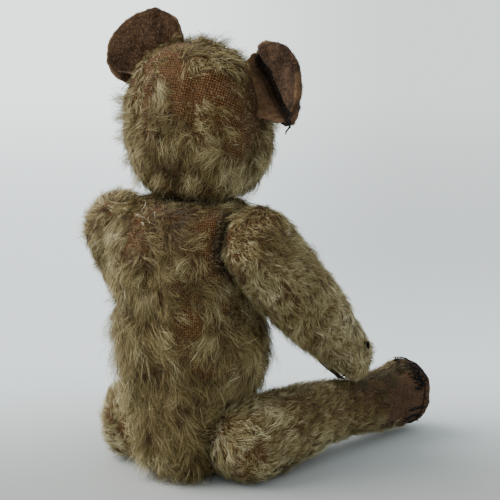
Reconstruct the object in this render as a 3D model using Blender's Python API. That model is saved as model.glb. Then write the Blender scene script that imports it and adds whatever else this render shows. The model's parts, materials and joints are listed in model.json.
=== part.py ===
"""A jointed mohair teddy bear, seated, with disc joints and wood-wool stuffing.

The bear faces -Y and sits on Z = 0. Its own right side is at -X. Lengths are written in
millimetres and become metres where a mesh is made. Each limb, and the head, is modelled in the
frame of its joint: "along" runs down the limb, "lift" is square to it in the joint's plane, and
"out" runs along the joint's axis, away from the torso.
"""

import math

import bmesh
import bpy
from mathutils import Matrix, Vector
from mathutils.bvhtree import BVHTree

MM = 0.001
RIGHT = -1
LEFT = 1
SIDES = {"right": RIGHT, "left": LEFT}

# Cloth, gaps and holes
CLOTH = 1.5
CLOTH_GAP = 0.4
STUFFING_DEPTH = 3.1
PATCH_GAP = 0.35
PATCH_THICKNESS = 1.3
PIN_HOLE_RADIUS = 2.2
PIN_HOLE_SEGMENTS = 10
SHARP_ANGLE = 40.0

# Where the bear sits, and the points and tilts of the planes that its joints turn on
SEAT_Y = 45.2
NECK_AT = (0.0, -5.0, 138.5)
NECK_TILT = 4.0
SHOULDER_AT = (31.0, 4.0, 119.5)
SHOULDER_YAW = 5.0
SHOULDER_ROLL = 2.0
ARM_DROP = 42.5
HIP_AT = (21.0, -3.0, 21.2)
HIP_YAW = 10.0
HIP_ROLL = 4.0
LEG_DROP = 0.0

# Joint hardware, measured along each joint's axis
DISC_RADIUS = {"neck": 12.5, "shoulder": 10.0, "hip": 12.0}
DISC_THICKNESS = 2.5
DISC_SEGMENTS = 16
WASHER_RADIUS = 7.5
WASHER_THICKNESS = 1.0
WASHER_SEGMENTS = 12
HARDWARE_GAP = 0.3
WIRE_RADIUS = 0.75
WIRE_OFFSET = 0.95
EYE_RADIUS = 2.6
CURL_RADIUS = 1.9
CURL_START = -35.0
CURL_TURN = 190.0
CURL_POINTS = 6
EYE_POINTS = 5
LEG_SLACK = 1.0
PIN_SPIN = 25.0
POCKET_CLEARANCE = 0.7

# How far round each joint the torso is pressed flat, and a reach that takes in a whole form
PRESS_REACH = {"neck": 60.0, "shoulder": 37.0, "hip": 26.0}
WHOLE_FORM = 200.0

# Cross-sections of the torso: height, middle (Y), half width, depth behind and in front. Each
# form's powers say how square its outline is, above and below its middle, where 2 is an ellipse.
TORSO_SECTIONS = [
    (0.0, 0.0, 22.0, 20.0, 24.0),
    (14.0, 0.0, 26.5, 27.0, 29.0),
    (38.0, -1.0, 27.5, 29.0, 32.0),
    (47.0, -1.0, 32.0, 29.5, 33.0),
    (60.0, 0.0, 37.0, 29.5, 34.0),
    (78.0, 2.0, 37.0, 29.0, 33.0),
    (98.0, 4.0, 36.0, 28.5, 29.0),
    (116.0, 6.0, 38.0, 28.0, 27.0),
    (130.0, 4.0, 35.0, 27.0, 25.0),
    (142.0, 1.0, 29.0, 24.0, 24.0),
]
TORSO_ENDS = {"start": -2.0, "end": 149.0, "start_round": 12.0, "end_round": 16.0}
TORSO_POWERS = (2.4, 2.4)
TORSO_SIDES = 24
TORSO_STEPS = (3, 13, 3)

# Cross-sections of the head: place forward of the neck's axis, height of its middle over the
# joint, half width, height above and below that middle
HEAD_SECTIONS = [
    (-24.0, 33.0, 32.5, 41.0, 36.0),
    (-8.0, 33.0, 34.0, 42.5, 40.0),
    (8.0, 32.0, 34.0, 43.0, 39.0),
    (22.0, 29.0, 31.5, 38.0, 35.5),
    (32.0, 25.0, 24.0, 28.0, 26.0),
    (40.0, 22.0, 17.5, 19.0, 17.5),
    (50.0, 21.0, 14.5, 14.5, 13.5),
    (58.0, 21.0, 13.0, 12.5, 11.5),
]
HEAD_ENDS = {"start": -26.0, "end": 58.0, "start_round": 21.0, "end_round": 9.0}
HEAD_POWERS = (2.4, 1.95)
HEAD_SIDES = 22
HEAD_STEPS = (4, 7, 3)

# Cross-sections of a limb: place along it, lift and out of its middle, half height above and
# below, thickness outward and inward
ARM_SECTIONS = [
    (-15.0, 1.0, 12.0, 18.5, 16.5, 11.5, 22.0),
    (0.0, 1.0, 13.0, 20.0, 17.5, 12.0, 22.0),
    (24.0, 0.0, 14.5, 19.0, 20.0, 13.5, 17.0),
    (48.0, 0.0, 17.0, 17.5, 20.5, 14.5, 15.0),
    (72.0, 0.0, 17.5, 14.5, 17.0, 13.5, 13.5),
    (94.0, 0.0, 17.5, 11.5, 12.5, 12.0, 12.0),
    (111.0, -1.0, 17.0, 10.5, 10.5, 10.5, 10.5),
]
ARM_ENDS = {"start": -17.0, "end": 115.5, "start_round": 14.0, "end_round": 13.0}
ARM_POWERS = (2.1, 2.1)
ARM_SIDES = 16
ARM_STEPS = (3, 6, 3)

LEG_SECTIONS = [
    (-18.0, 0.0, 14.5, 18.5, 18.5, 14.5, 21.0),
    (0.0, 0.0, 15.0, 20.0, 20.3, 15.0, 22.0),
    (26.0, 0.5, 15.5, 19.5, 18.5, 14.5, 18.0),
    (54.0, 3.5, 16.0, 15.5, 16.5, 13.5, 15.0),
    (82.0, 1.5, 17.0, 13.0, 15.5, 12.5, 13.0),
    (100.0, 1.0, 18.0, 14.0, 17.0, 13.5, 14.0),
    (117.0, 1.5, 18.5, 15.5, 17.5, 14.5, 15.0),
]
LEG_ENDS = {"start": -20.0, "end": 123.0, "start_round": 16.0, "end_round": 7.0, "end_flat": 0.75}
LEG_POWERS = (2.3, 2.3)
LEG_SIDES = 18
LEG_STEPS = (3, 7, 2)

# Pads: a point on the arm or leg, the way the pad faces, half its length and width, and how far
# its cutting outline goes below and above that point. For the right side, in its joint's frame.
PALM_AT = (98.0, -12.0, 7.0)
PALM_FACING = (0.25, -0.55, -1.0)
PALM_HALF_SIZE = (8.0, 13.0)
PALM_DEPTHS = (-9.0, 14.0)
SOLE_AT = (123.0, 1.5, 18.5)
SOLE_HALF_SIZE = (30.0, 30.0)
SOLE_DEPTHS = (-7.0, 8.0)
PAD_SIDES = 12

# Ears: where each base meets the head, and the directions along its base and up from it, all as
# (forward, sideways, up), and how deep it is cupped along its base and up it. The right ear has
# come loose at the top and hangs lower and further out than the left one.
EARS = {
    "left": {
        "base": (14.5, 29.5, 62.5),
        "along": (-0.49, 0.65, -0.58),
        "rise": (0.08, 0.73, 0.68),
        "cup": (5.0, 0.0),
    },
    "right": {
        "base": (11.5, 40.0, 49.5),
        "along": (-0.33, 0.68, -0.65),
        "rise": (-0.34, 0.53, 0.78),
        "cup": (6.5, 1.5),
    },
}
EAR_HALF_WIDTH = 21.0
EAR_HALF_HEIGHT = 18.8
EAR_MIDDLE = 10.0
EAR_THICKNESS = 2.6
EAR_RINGS = (0.4, 0.75, 1.0)
EAR_SIDES = 20

# The face
EYE_RAY_START = (10.0, 0.0, 30.0)
EYE_DIRECTION = (1.0, 0.55, 0.42)
EYE_BUTTON_RADIUS = 4.5
EYE_BUTTON_HEIGHT = 3.2
EYE_BUTTON_EDGE = 0.8
EYE_BUTTON_BACK_RADIUS = 4.05
EYE_BUTTON_STEPS = 4
EYE_BUTTON_SEGMENTS = 14
SHANK_RADIUS = 1.1
SHANK_LENGTH = 5.0
SHANK_CLEARANCE = 0.4
SHANK_SEGMENTS = 8
NOSE_AT = (58.0, 0.0, 27.0)
NOSE_FACING = (1.0, 0.0, 0.35)
NOSE_DEPTHS = (-12.0, 8.0)
NOSE_OUTLINE = [(-6.5, 4.0), (-5.0, 5.0), (5.0, 5.0), (6.5, 4.0), (1.5, -4.5), (-1.5, -4.5)]
MOUTH_DEPTHS = (-20.0, 8.0)
MOUTH_THICKNESS = 0.9
MOUTH_OUTLINE = [
    (0.0, -6.0),
    (1.2, -6.6),
    (8.5, -12.5),
    (7.5, -13.8),
    (0.0, -8.6),
    (-7.5, -13.8),
    (-8.5, -12.5),
    (-1.2, -6.6),
]

MOHAIR = ((0.32, 0.25, 0.15), 0.95, 0.0)
EAR_CLOTH = ((0.08, 0.045, 0.025), 0.95, 0.0)
PAD_CLOTH = ((0.14, 0.07, 0.04), 0.95, 0.0)
WOOD_WOOL = ((0.50, 0.38, 0.20), 0.9, 0.0)
HARDBOARD = ((0.20, 0.13, 0.07), 0.8, 0.0)
STEEL = ((0.30, 0.28, 0.26), 0.5, 1.0)
BOOT_BUTTON = ((0.012, 0.010, 0.009), 0.25, 0.0)
FLOSS = ((0.02, 0.016, 0.013), 0.8, 0.0)


def clear_scene():
    """Remove every object that the scene holds."""
    for old in list(bpy.data.objects):
        bpy.data.objects.remove(old, do_unlink=True)


def material(name, finish):
    """A Principled material of one colour."""
    colour, roughness, metallic = finish
    made = bpy.data.materials.new(name)
    made.use_nodes = True
    shader = made.node_tree.nodes["Principled BSDF"]
    shader.inputs["Base Color"].default_value = (*colour, 1.0)
    shader.inputs["Roughness"].default_value = roughness
    shader.inputs["Metallic"].default_value = metallic
    return made


def add_object(name, data, finish=None, parent=None, frame=None):
    """Put a mesh or curve into the scene, in the frame of its joint."""
    made = bpy.data.objects.new(name, data)
    bpy.context.scene.collection.objects.link(made)
    if finish:
        data.materials.append(material(name, finish))
    if parent:
        made.parent = parent
    if frame:
        made.matrix_basis = frame
    return made


def add_empty(name, frame, parent=None):
    """A bare frame that carries the pieces of one body."""
    made = add_object(name, None, parent=parent, frame=frame)
    made.empty_display_size = 0.01
    return made


def as_helper(cutter):
    """Mark an object as a cutter, which is no part of the bear."""
    cutter.hide_render = True
    cutter.display_type = "WIRE"
    return cutter


def boolean(target, cutter, operation="DIFFERENCE"):
    """Cut one object with another, or keep only what they share."""
    step = target.modifiers.new(operation.title(), "BOOLEAN")
    step.operation = operation
    step.object = cutter
    step.solver = "EXACT"


def displace(target, distance):
    """Move the whole surface along its normals, outward where distance is above zero."""
    step = target.modifiers.new("Offset", "DISPLACE")
    step.strength = distance * MM
    step.mid_level = 0.0
    step.direction = "NORMAL"


def solidify_inward(target, thickness):
    """Turn a closed surface into a hollow shell whose outside stays where it is."""
    step = target.modifiers.new("Cloth", "SOLIDIFY")
    step.thickness = thickness * MM
    step.offset = -1.0
    step.use_even_offset = True


def mesh_from(name, points, faces):
    """A closed mesh, with its faces turned outward, from points in millimetres."""
    data = bpy.data.meshes.new(name)
    shape = bmesh.new()
    corners = [shape.verts.new(Vector(point) * MM) for point in points]
    for face in faces:
        shape.faces.new([corners[index] for index in face])
    bmesh.ops.recalc_face_normals(shape, faces=shape.faces)
    shape.to_mesh(data)
    shape.free()
    data.shade_smooth()
    data.set_sharp_from_angle(angle=math.radians(SHARP_ANGLE))
    return data


def section_at(sections, place):
    """The cross-section at one place, on a smooth curve through the listed ones."""
    places = [row[0] for row in sections]
    if place <= places[0]:
        return sections[0][1:]
    if place >= places[-1]:
        return sections[-1][1:]
    index = max(i for i, value in enumerate(places) if value <= place)
    low, high = sections[index], sections[index + 1]
    step = high[0] - low[0]
    share = (place - low[0]) / step
    before = sections[max(index - 1, 0)]
    after = sections[min(index + 2, len(sections) - 1)]
    values = []
    for column in range(1, len(low)):
        slope_low = (high[column] - before[column]) / (high[0] - before[0]) * step
        slope_high = (after[column] - low[column]) / (after[0] - low[0]) * step
        values.append(
            (2 * share**3 - 3 * share**2 + 1) * low[column]
            + (share**3 - 2 * share**2 + share) * slope_low
            + (3 * share**2 - 2 * share**3) * high[column]
            + (share**3 - share**2) * slope_high
        )
    return values


def superellipse(angle, power, plus, minus):
    """One coordinate's share of a rounded-square outline, from the cosine of its angle."""
    share = math.copysign(abs(math.cos(angle)) ** (2.0 / power), math.cos(angle))
    return share * (plus if share > 0 else minus)


def ring(section, fade, powers, sides):
    """The outline of one cross-section, as (lift, out) pairs, squarer for a higher power."""
    lift, out, up, down, outward, inward = section
    outline = []
    for index in range(sides):
        angle = math.tau * index / sides
        power = powers[0] if math.sin(angle) >= 0 else powers[1]
        outline.append(
            (
                lift + fade * superellipse(angle, power, up, down),
                out + fade * superellipse(angle - math.pi / 2, power, outward, inward),
            )
        )
    return outline


def stops(ends, steps):
    """(place, fade) of each ring: a rounded start, even steps, and a rounded end."""
    start_count, middle_count, end_count = steps
    start, end = ends["start"], ends["end"]
    start_round, end_round = ends["start_round"], ends["end_round"]
    flat = ends.get("end_flat", 0.0)
    found = []
    for index in range(1, start_count + 1):
        turn = math.pi / 2 * index / start_count
        found.append((start + start_round * (1 - math.cos(turn)), math.sin(turn)))
    run = end - end_round - (start + start_round)
    for index in range(1, middle_count):
        found.append((start + start_round + run * index / middle_count, 1.0))
    for index in range(end_count, 0, -1):
        turn = math.pi / 2 * index / end_count
        fade = flat + (1 - flat) * math.sin(turn)
        found.append((end - end_round * (1 - math.cos(turn)), fade))
    if flat:
        found.append((end, flat))
    return found


def loft(sections, ends, powers, sides, steps):
    """Points (along, lift, out) and faces of a closed form with a pole at each end."""
    rings = []
    for place, fade in stops(ends, steps):
        outline = ring(section_at(sections, place), fade, powers, sides)
        rings.append([(place, lift, out) for lift, out in outline])
    first = section_at(sections, ends["start"])
    last = section_at(sections, ends["end"])
    points = [(ends["start"], first[0], first[1])]
    points += [point for outline in rings for point in outline]
    points.append((ends["end"], last[0], last[1]))
    faces = []
    for index in range(sides):
        following = (index + 1) % sides
        faces.append((0, 1 + index, 1 + following))
        for row in range(len(rings) - 1):
            low = 1 + row * sides
            high = low + sides
            faces.append((low + index, high + index, high + following, low + following))
        top = 1 + (len(rings) - 1) * sides
        faces.append((len(points) - 1, top + following, top + index))
    return points, faces


def pressed(points, planes):
    """Flatten the points onto planes, each (point, normal, reach), that they would cross."""
    moved = [Vector(point) for point in points]
    for at, normal, reach in planes:
        at, normal = Vector(at), Vector(normal).normalized()
        for point in moved:
            depth = (point - at).dot(normal)
            sideways = (point - at - normal * depth).length
            if depth < 0 and sideways < reach:
                point -= normal * depth
    return moved


def joint_frame(at, side, yaw, roll, drop):
    """The frame of a limb's joint: along, lift and out as its three axes."""
    yaw, roll, drop = (math.radians(value) for value in (yaw, roll, drop))
    level = math.cos(roll)
    out = Vector((side * math.cos(yaw) * level, math.sin(yaw) * level, -math.sin(roll)))
    ahead = Vector((side * math.sin(yaw), -math.cos(yaw), 0.0))
    up = out.cross(ahead) * -side
    along = ahead * math.cos(drop) - up * math.sin(drop)
    lift = out.cross(along)
    frame = Matrix((along, lift, out)).transposed().to_4x4()
    x, y, z = at
    frame.translation = Vector((side * x, y + SEAT_Y, z)) * MM
    return frame


def neck_frame():
    """The neck's frame: along points forward, lift to the bear's left, and out upward."""
    tilt = math.radians(NECK_TILT)
    out = Vector((0.0, math.sin(tilt), math.cos(tilt)))
    along = Vector((0.0, -math.cos(tilt), math.sin(tilt)))
    frame = Matrix((along, out.cross(along), out)).transposed().to_4x4()
    x, y, z = NECK_AT
    frame.translation = Vector((x, y + SEAT_Y, z)) * MM
    return frame


def turned(name, outline, segments):
    """A solid turned about the out axis from (radius, out) points. Radius 0 makes a pole."""
    points = []
    rows = []
    for radius, out in outline:
        if radius == 0:
            rows.append([len(points)] * segments)
            points.append((0.0, 0.0, out))
            continue
        rows.append(list(range(len(points), len(points) + segments)))
        for index in range(segments):
            angle = math.tau * index / segments
            points.append((radius * math.cos(angle), radius * math.sin(angle), out))
    closed = outline[0][0] != 0
    pairs = list(zip(rows, rows[1:] + rows[:1])) if closed else list(zip(rows, rows[1:]))
    faces = []
    for low, high in pairs:
        for index in range(segments):
            following = (index + 1) % segments
            corners = [low[index], low[following], high[following], high[index]]
            faces.append(list(dict.fromkeys(corners)))
    return mesh_from(name, points, faces)


def washer_mesh(name, radius, low, high, segments):
    """A flat ring with a pin hole through it."""
    hole = PIN_HOLE_RADIUS
    return turned(name, [(hole, low), (radius, low), (radius, high), (hole, high)], segments)


def stack_places():
    """How far out from the joint's plane the disc and the washer lie, as (near, far) pairs."""
    disc_near = CLOTH_GAP / 2 + CLOTH + HARDWARE_GAP
    disc_far = disc_near + DISC_THICKNESS
    washer_near = disc_far + HARDWARE_GAP
    washer_far = washer_near + WASHER_THICKNESS
    return (disc_near, disc_far), (washer_near, washer_far)


def cotter_pin_path():
    """The wire of a cotter pin: curled end, leg, eye, leg, curled end, as (sideways, out)."""
    seat = stack_places()[1][1] + HARDWARE_GAP + WIRE_RADIUS
    eye_middle = seat + EYE_RADIUS
    curl_middle = WIRE_OFFSET + CURL_RADIUS
    half = []
    for index in range(CURL_POINTS):
        turn = math.radians(CURL_START + CURL_TURN * index / (CURL_POINTS - 1))
        depth = seat + CURL_RADIUS * (1 + math.sin(turn))
        half.append((curl_middle + CURL_RADIUS * math.cos(turn), -depth))
    half.append((WIRE_OFFSET, -seat + LEG_SLACK))
    half.append((WIRE_OFFSET, seat - LEG_SLACK))
    opening = math.asin(WIRE_OFFSET / EYE_RADIUS)
    for index in range(EYE_POINTS):
        turn = opening - math.pi / 2 + (math.pi - opening) * index / (EYE_POINTS - 1)
        half.append((EYE_RADIUS * math.cos(turn), eye_middle + EYE_RADIUS * math.sin(turn)))
    mirrored = [(-sideways, out) for sideways, out in reversed(half[:-1])]
    return half + mirrored


def cotter_pin(name, parent, spin):
    """A split pin of round wire, bent over at its two ends."""
    wire = bpy.data.curves.new(name, "CURVE")
    wire.dimensions = "3D"
    wire.bevel_depth = WIRE_RADIUS * MM
    wire.bevel_resolution = 1
    wire.use_fill_caps = True
    path = cotter_pin_path()
    line = wire.splines.new("POLY")
    line.points.add(len(path) - 1)
    for point, (sideways, out) in zip(line.points, path):
        point.co = (sideways * MM, 0.0, out * MM, 1.0)
    return add_object(name, wire, STEEL, parent, Matrix.Rotation(spin, 4, "Z"))


def pocket_cutter(name, radius, parent, frame=None):
    """Room for a joint's discs, washers and pin in the stuffing on both sides of its plane."""
    (_, disc_far), (_, washer_far) = stack_places()
    wide = radius + POCKET_CLEARANCE
    shoulder = washer_far + POCKET_CLEARANCE
    curl = shoulder + 2 * CURL_RADIUS + 2 * WIRE_RADIUS + POCKET_CLEARANCE
    curl_width = WIRE_OFFSET + 2 * CURL_RADIUS + WIRE_RADIUS + POCKET_CLEARANCE
    eye = shoulder + 2 * EYE_RADIUS + 2 * WIRE_RADIUS + POCKET_CLEARANCE
    eye_width = EYE_RADIUS + WIRE_RADIUS + POCKET_CLEARANCE
    narrow = max(curl_width, WASHER_RADIUS + POCKET_CLEARANCE)
    outline = [(0, -curl), (narrow, -curl), (narrow, -disc_far - POCKET_CLEARANCE)]
    outline += [(wide, -disc_far - POCKET_CLEARANCE), (wide, disc_far + POCKET_CLEARANCE)]
    outline += [(narrow, disc_far + POCKET_CLEARANCE), (narrow, shoulder)]
    outline += [(eye_width, shoulder), (eye_width, eye), (0, eye)]
    return as_helper(add_object(name, turned(name, outline, WASHER_SEGMENTS), None, parent, frame))


def hole_cutter(name, parent, frame=None):
    """A short rod that cuts the pin hole through the cloth on both sides of a joint."""
    reach = CLOTH_GAP + 2 * CLOTH
    outline = [(0, -reach), (PIN_HOLE_RADIUS, -reach), (PIN_HOLE_RADIUS, reach), (0, reach)]
    return as_helper(add_object(name, turned(name, outline, PIN_HOLE_SEGMENTS), None, parent, frame))


def hardware(joint, kind, parent, torso, frame):
    """Discs, washers and a cotter pin: the outer ones turn, and the inner ones stay put."""
    (disc_near, disc_far), (washer_near, washer_far) = stack_places()
    radius = DISC_RADIUS[kind]
    for where, finish, size, near, far, segments in (
        ("disc", HARDBOARD, radius, disc_near, disc_far, DISC_SEGMENTS),
        ("washer", STEEL, WASHER_RADIUS, washer_near, washer_far, WASHER_SEGMENTS),
    ):
        outer = f"{joint}_outer_{where}"
        inner = f"{joint}_inner_{where}"
        add_object(outer, washer_mesh(outer, size, near, far, segments), finish, parent)
        add_object(inner, washer_mesh(inner, size, -far, -near, segments), finish, torso, frame)
    cotter_pin(f"{joint}_cotter_pin", parent, math.radians(PIN_SPIN))


def stuffed_form(name, points, faces, parent, cutters):
    """A cloth cover with its pin holes, and the stuffing inside it with its pockets."""
    holes, pockets = cutters
    cover = add_object(f"{name}_cover", mesh_from(name, points, faces), MOHAIR, parent)
    solidify_inward(cover, CLOTH)
    for hole in holes:
        boolean(cover, hole)
    stuffing = add_object(f"{name}_stuffing", mesh_from(name, points, faces), WOOD_WOOL, parent)
    displace(stuffing, -STUFFING_DEPTH)
    for pocket in pockets:
        boolean(stuffing, pocket)
    return cover, stuffing


def clearance_cutter(name, cover, parent, distance):
    """The cover's outer shape, swollen by a distance, to cut what is sewn onto it."""
    swollen = as_helper(add_object(name, cover.data.copy(), None, parent))
    displace(swollen, distance)
    return swollen


def sewn_patch(name, cover, outline, finish, parent, thickness=PATCH_THICKNESS):
    """A layer of cloth or thread that lies on a cover inside a straight solid's outline."""
    patch = add_object(name, cover.data.copy(), None, parent)
    patch.data.materials.clear()
    patch.data.materials.append(material(name, finish))
    displace(patch, PATCH_GAP + thickness)
    boolean(patch, outline, "INTERSECT")
    boolean(patch, clearance_cutter(f"{name}_clearance", cover, parent, PATCH_GAP))
    return patch


def prism(name, outline, depths, parent, frame):
    """A straight solid of one outline, between two depths along its frame's Z."""
    low, high = depths
    count = len(outline)
    points = [(x, y, low) for x, y in outline] + [(x, y, high) for x, y in outline]
    faces = [tuple(range(count)), tuple(range(2 * count - 1, count - 1, -1))]
    for index in range(count):
        following = (index + 1) % count
        faces.append((index, following, count + following, count + index))
    return as_helper(add_object(name, mesh_from(name, points, faces), None, parent, frame))


def oval(half_size):
    """An ellipse's outline, from half its length and half its width."""
    half_x, half_y = half_size
    angles = [math.tau * index / PAD_SIDES for index in range(PAD_SIDES)]
    return [(half_x * math.cos(angle), half_y * math.sin(angle)) for angle in angles]


def looking_frame(at, direction, upright):
    """A frame at a point, with Z along a direction and Y as near to upright as it can be."""
    z = Vector(direction).normalized()
    x = Vector(upright).cross(z).normalized()
    frame = Matrix((x, z.cross(x), z)).transposed().to_4x4()
    frame.translation = Vector(at) * MM
    return frame


def handed(vector, hand):
    """A vector as it is, or mirrored across the joint's plane where hand is -1."""
    x, y, z = vector
    return (x, y * hand, z)


def build_torso(root, frames):
    """The torso's cover and stuffing, flattened where joints and the seat press on it."""
    sections = []
    for z, y, half, back, front in TORSO_SECTIONS:
        sections.append((z, 0.0, y + SEAT_Y, half, half, back, front))
    points, faces = loft(sections, TORSO_ENDS, TORSO_POWERS, TORSO_SIDES, TORSO_STEPS)
    points = [(x, y, z) for z, x, y in points]
    planes = [((0.0, 0.0, 0.0), (0.0, 0.0, 1.0), WHOLE_FORM)]
    holes = []
    pockets = []
    for joint, frame in frames.items():
        kind = joint.split("_")[-1]
        out = frame.to_3x3().col[2]
        at = frame.translation / MM - out * (CLOTH_GAP / 2)
        planes.append((at, -out, PRESS_REACH[kind]))
        holes.append(hole_cutter(f"{joint}_torso_hole", root, frame))
        pockets.append(pocket_cutter(f"{joint}_torso_pocket", DISC_RADIUS[kind], root, frame))
    stuffed_form("torso", pressed(points, planes), faces, root, (holes, pockets))


def limb_cutters(joint, kind, parent):
    """The pin hole and the pocket of one limb's joint, or of the head's."""
    return (
        [hole_cutter(f"{joint}_hole", parent)],
        [pocket_cutter(f"{joint}_pocket", DISC_RADIUS[kind], parent)],
    )


def limb_points(sections, ends, powers, sides, steps, hand):
    """A limb's form, flattened on its joint's plane, and mirrored for the left side."""
    points, faces = loft(sections, ends, powers, sides, steps)
    joint_plane = ((0.0, 0.0, CLOTH_GAP / 2), (0.0, 0.0, 1.0), WHOLE_FORM)
    return [(x, y * hand, z) for x, y, z in pressed(points, [joint_plane])], faces


def build_arm(side_name, parent):
    """An arm with a pad on its paw."""
    joint = f"{side_name}_shoulder"
    hand = -SIDES[side_name]
    points, faces = limb_points(ARM_SECTIONS, ARM_ENDS, ARM_POWERS, ARM_SIDES, ARM_STEPS, hand)
    name = f"{side_name}_arm"
    cover, _ = stuffed_form(name, points, faces, parent, limb_cutters(joint, "shoulder", parent))
    palm = looking_frame(handed(PALM_AT, hand), handed(PALM_FACING, hand), (1.0, 0.0, 0.0))
    outline = prism(f"{name}_palm", oval(PALM_HALF_SIZE), PALM_DEPTHS, parent, palm)
    sewn_patch(f"{side_name}_paw_pad", cover, outline, PAD_CLOTH, parent)


def build_leg(side_name, parent):
    """A leg with a pad on its sole."""
    joint = f"{side_name}_hip"
    hand = -SIDES[side_name]
    points, faces = limb_points(LEG_SECTIONS, LEG_ENDS, LEG_POWERS, LEG_SIDES, LEG_STEPS, hand)
    name = f"{side_name}_leg"
    cover, _ = stuffed_form(name, points, faces, parent, limb_cutters(joint, "hip", parent))
    sole = looking_frame(handed(SOLE_AT, hand), (1.0, 0.0, 0.0), (0.0, 1.0, 0.0))
    outline = prism(f"{name}_sole", oval(SOLE_HALF_SIZE), SOLE_DEPTHS, parent, sole)
    sewn_patch(f"{side_name}_foot_pad", cover, outline, PAD_CLOTH, parent)


def build_head(parent):
    """The head with its ears, eyes, nose and mouth."""
    sections = []
    for along, up, half, above, below in HEAD_SECTIONS:
        sections.append((along, 0.0, up, half, half, above, below))
    points, faces = loft(sections, HEAD_ENDS, HEAD_POWERS, HEAD_SIDES, HEAD_STEPS)
    joint_plane = ((0.0, 0.0, CLOTH_GAP / 2), (0.0, 0.0, 1.0), WHOLE_FORM)
    points = pressed(points, [joint_plane])
    cover, stuffing = stuffed_form("head", points, faces, parent, limb_cutters("neck", "neck", parent))
    clearance = clearance_cutter("ear_clearance", cover, parent, PATCH_GAP)
    for side_name, side in SIDES.items():
        build_ear(side_name, side, parent, clearance)
        build_eye(side_name, side, parent, (cover, stuffing))
    build_nose_and_mouth(cover, parent)


def build_ear(side_name, side, parent, clearance):
    """A cupped oval of two layers of cloth, whose base follows the head."""
    ear_at = EARS[side_name]
    cup_along, cup_up = ear_at["cup"]
    base = Vector(handed(ear_at["base"], side))
    wide = Vector(handed(ear_at["along"], side)).normalized()
    rise = Vector(handed(ear_at["rise"], side))
    rise = (rise - wide * rise.dot(wide)).normalized()
    back = wide.cross(rise).normalized()
    back *= -math.copysign(1.0, back.x)
    count = EAR_SIDES
    points = []
    for face in (1, -1):
        rows = [(0.0, 0.0)]
        for share in EAR_RINGS:
            for index in range(count):
                angle = math.tau * index / count
                rows.append((share * math.cos(angle), share * math.sin(angle)))
        for x, y in rows:
            depth = cup_along * (x * x - 0.5) + cup_up * (y * y - 0.5) + face * EAR_THICKNESS / 2
            place = base + wide * (x * EAR_HALF_WIDTH) + rise * (EAR_MIDDLE + y * EAR_HALF_HEIGHT)
            points.append(place + back * depth)
    half = len(points) // 2
    faces = []
    for start in (0, half):
        for index in range(count):
            following = (index + 1) % count
            faces.append((start, start + 1 + index, start + 1 + following))
            for row in range(len(EAR_RINGS) - 1):
                low = start + 1 + row * count
                high = low + count
                faces.append((low + index, high + index, high + following, low + following))
    rim = 1 + (len(EAR_RINGS) - 1) * count
    for index in range(count):
        following = (index + 1) % count
        faces.append((rim + index, rim + following, half + rim + following, half + rim + index))
    name = f"{side_name}_ear"
    ear = add_object(name, mesh_from(name, points, faces), EAR_CLOTH, parent)
    boolean(ear, clearance)


def surface_under(cover, origin, direction):
    """Where a ray from inside a form leaves it, and the surface's normal there, in millimetres."""
    shape = bmesh.new()
    shape.from_mesh(cover.data)
    tree = BVHTree.FromBMesh(shape)
    shape.free()
    place, normal, _, _ = tree.ray_cast(Vector(origin) * MM, Vector(direction))
    return place / MM, normal


def build_eye(side_name, side, parent, pierced):
    """A domed boot button whose shank goes into the head."""
    direction = (EYE_DIRECTION[0], side * EYE_DIRECTION[1], EYE_DIRECTION[2])
    at, normal = surface_under(pierced[0], EYE_RAY_START, direction)
    frame = looking_frame(at, normal, (0.0, 0.0, 1.0))
    seat = PATCH_GAP
    top = seat + EYE_BUTTON_HEIGHT
    edge = seat + EYE_BUTTON_EDGE
    outline = [(0, -SHANK_LENGTH), (SHANK_RADIUS, -SHANK_LENGTH), (SHANK_RADIUS, seat)]
    outline.append((EYE_BUTTON_BACK_RADIUS, seat))
    for index in range(EYE_BUTTON_STEPS):
        turn = math.pi / 2 * index / EYE_BUTTON_STEPS
        radius = EYE_BUTTON_RADIUS * math.cos(turn)
        outline.append((radius, edge + (top - edge) * math.sin(turn)))
    outline.append((0, top))
    name = f"{side_name}_eye"
    button = turned(name, outline, EYE_BUTTON_SEGMENTS)
    add_object(name, button, BOOT_BUTTON, parent, frame)
    room = SHANK_RADIUS + SHANK_CLEARANCE
    depth = SHANK_LENGTH + SHANK_CLEARANCE
    bore = turned(name, [(0, -depth), (room, -depth), (room, depth), (0, depth)], SHANK_SEGMENTS)
    cutter = as_helper(add_object(f"{name}_bore", bore, None, parent, frame))
    for target in pierced:
        boolean(target, cutter)


def build_nose_and_mouth(cover, parent):
    """Satin-stitched floss: a rounded triangle, and an upturned V below it."""
    frame = looking_frame(NOSE_AT, NOSE_FACING, (0.0, 0.0, 1.0))
    nose = prism("nose_outline", NOSE_OUTLINE, NOSE_DEPTHS, parent, frame)
    sewn_patch("nose_stitching", cover, nose, FLOSS, parent)
    mouth = prism("mouth_outline", MOUTH_OUTLINE, MOUTH_DEPTHS, parent, frame)
    sewn_patch("mouth_stitching", cover, mouth, FLOSS, parent, MOUTH_THICKNESS)


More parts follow.
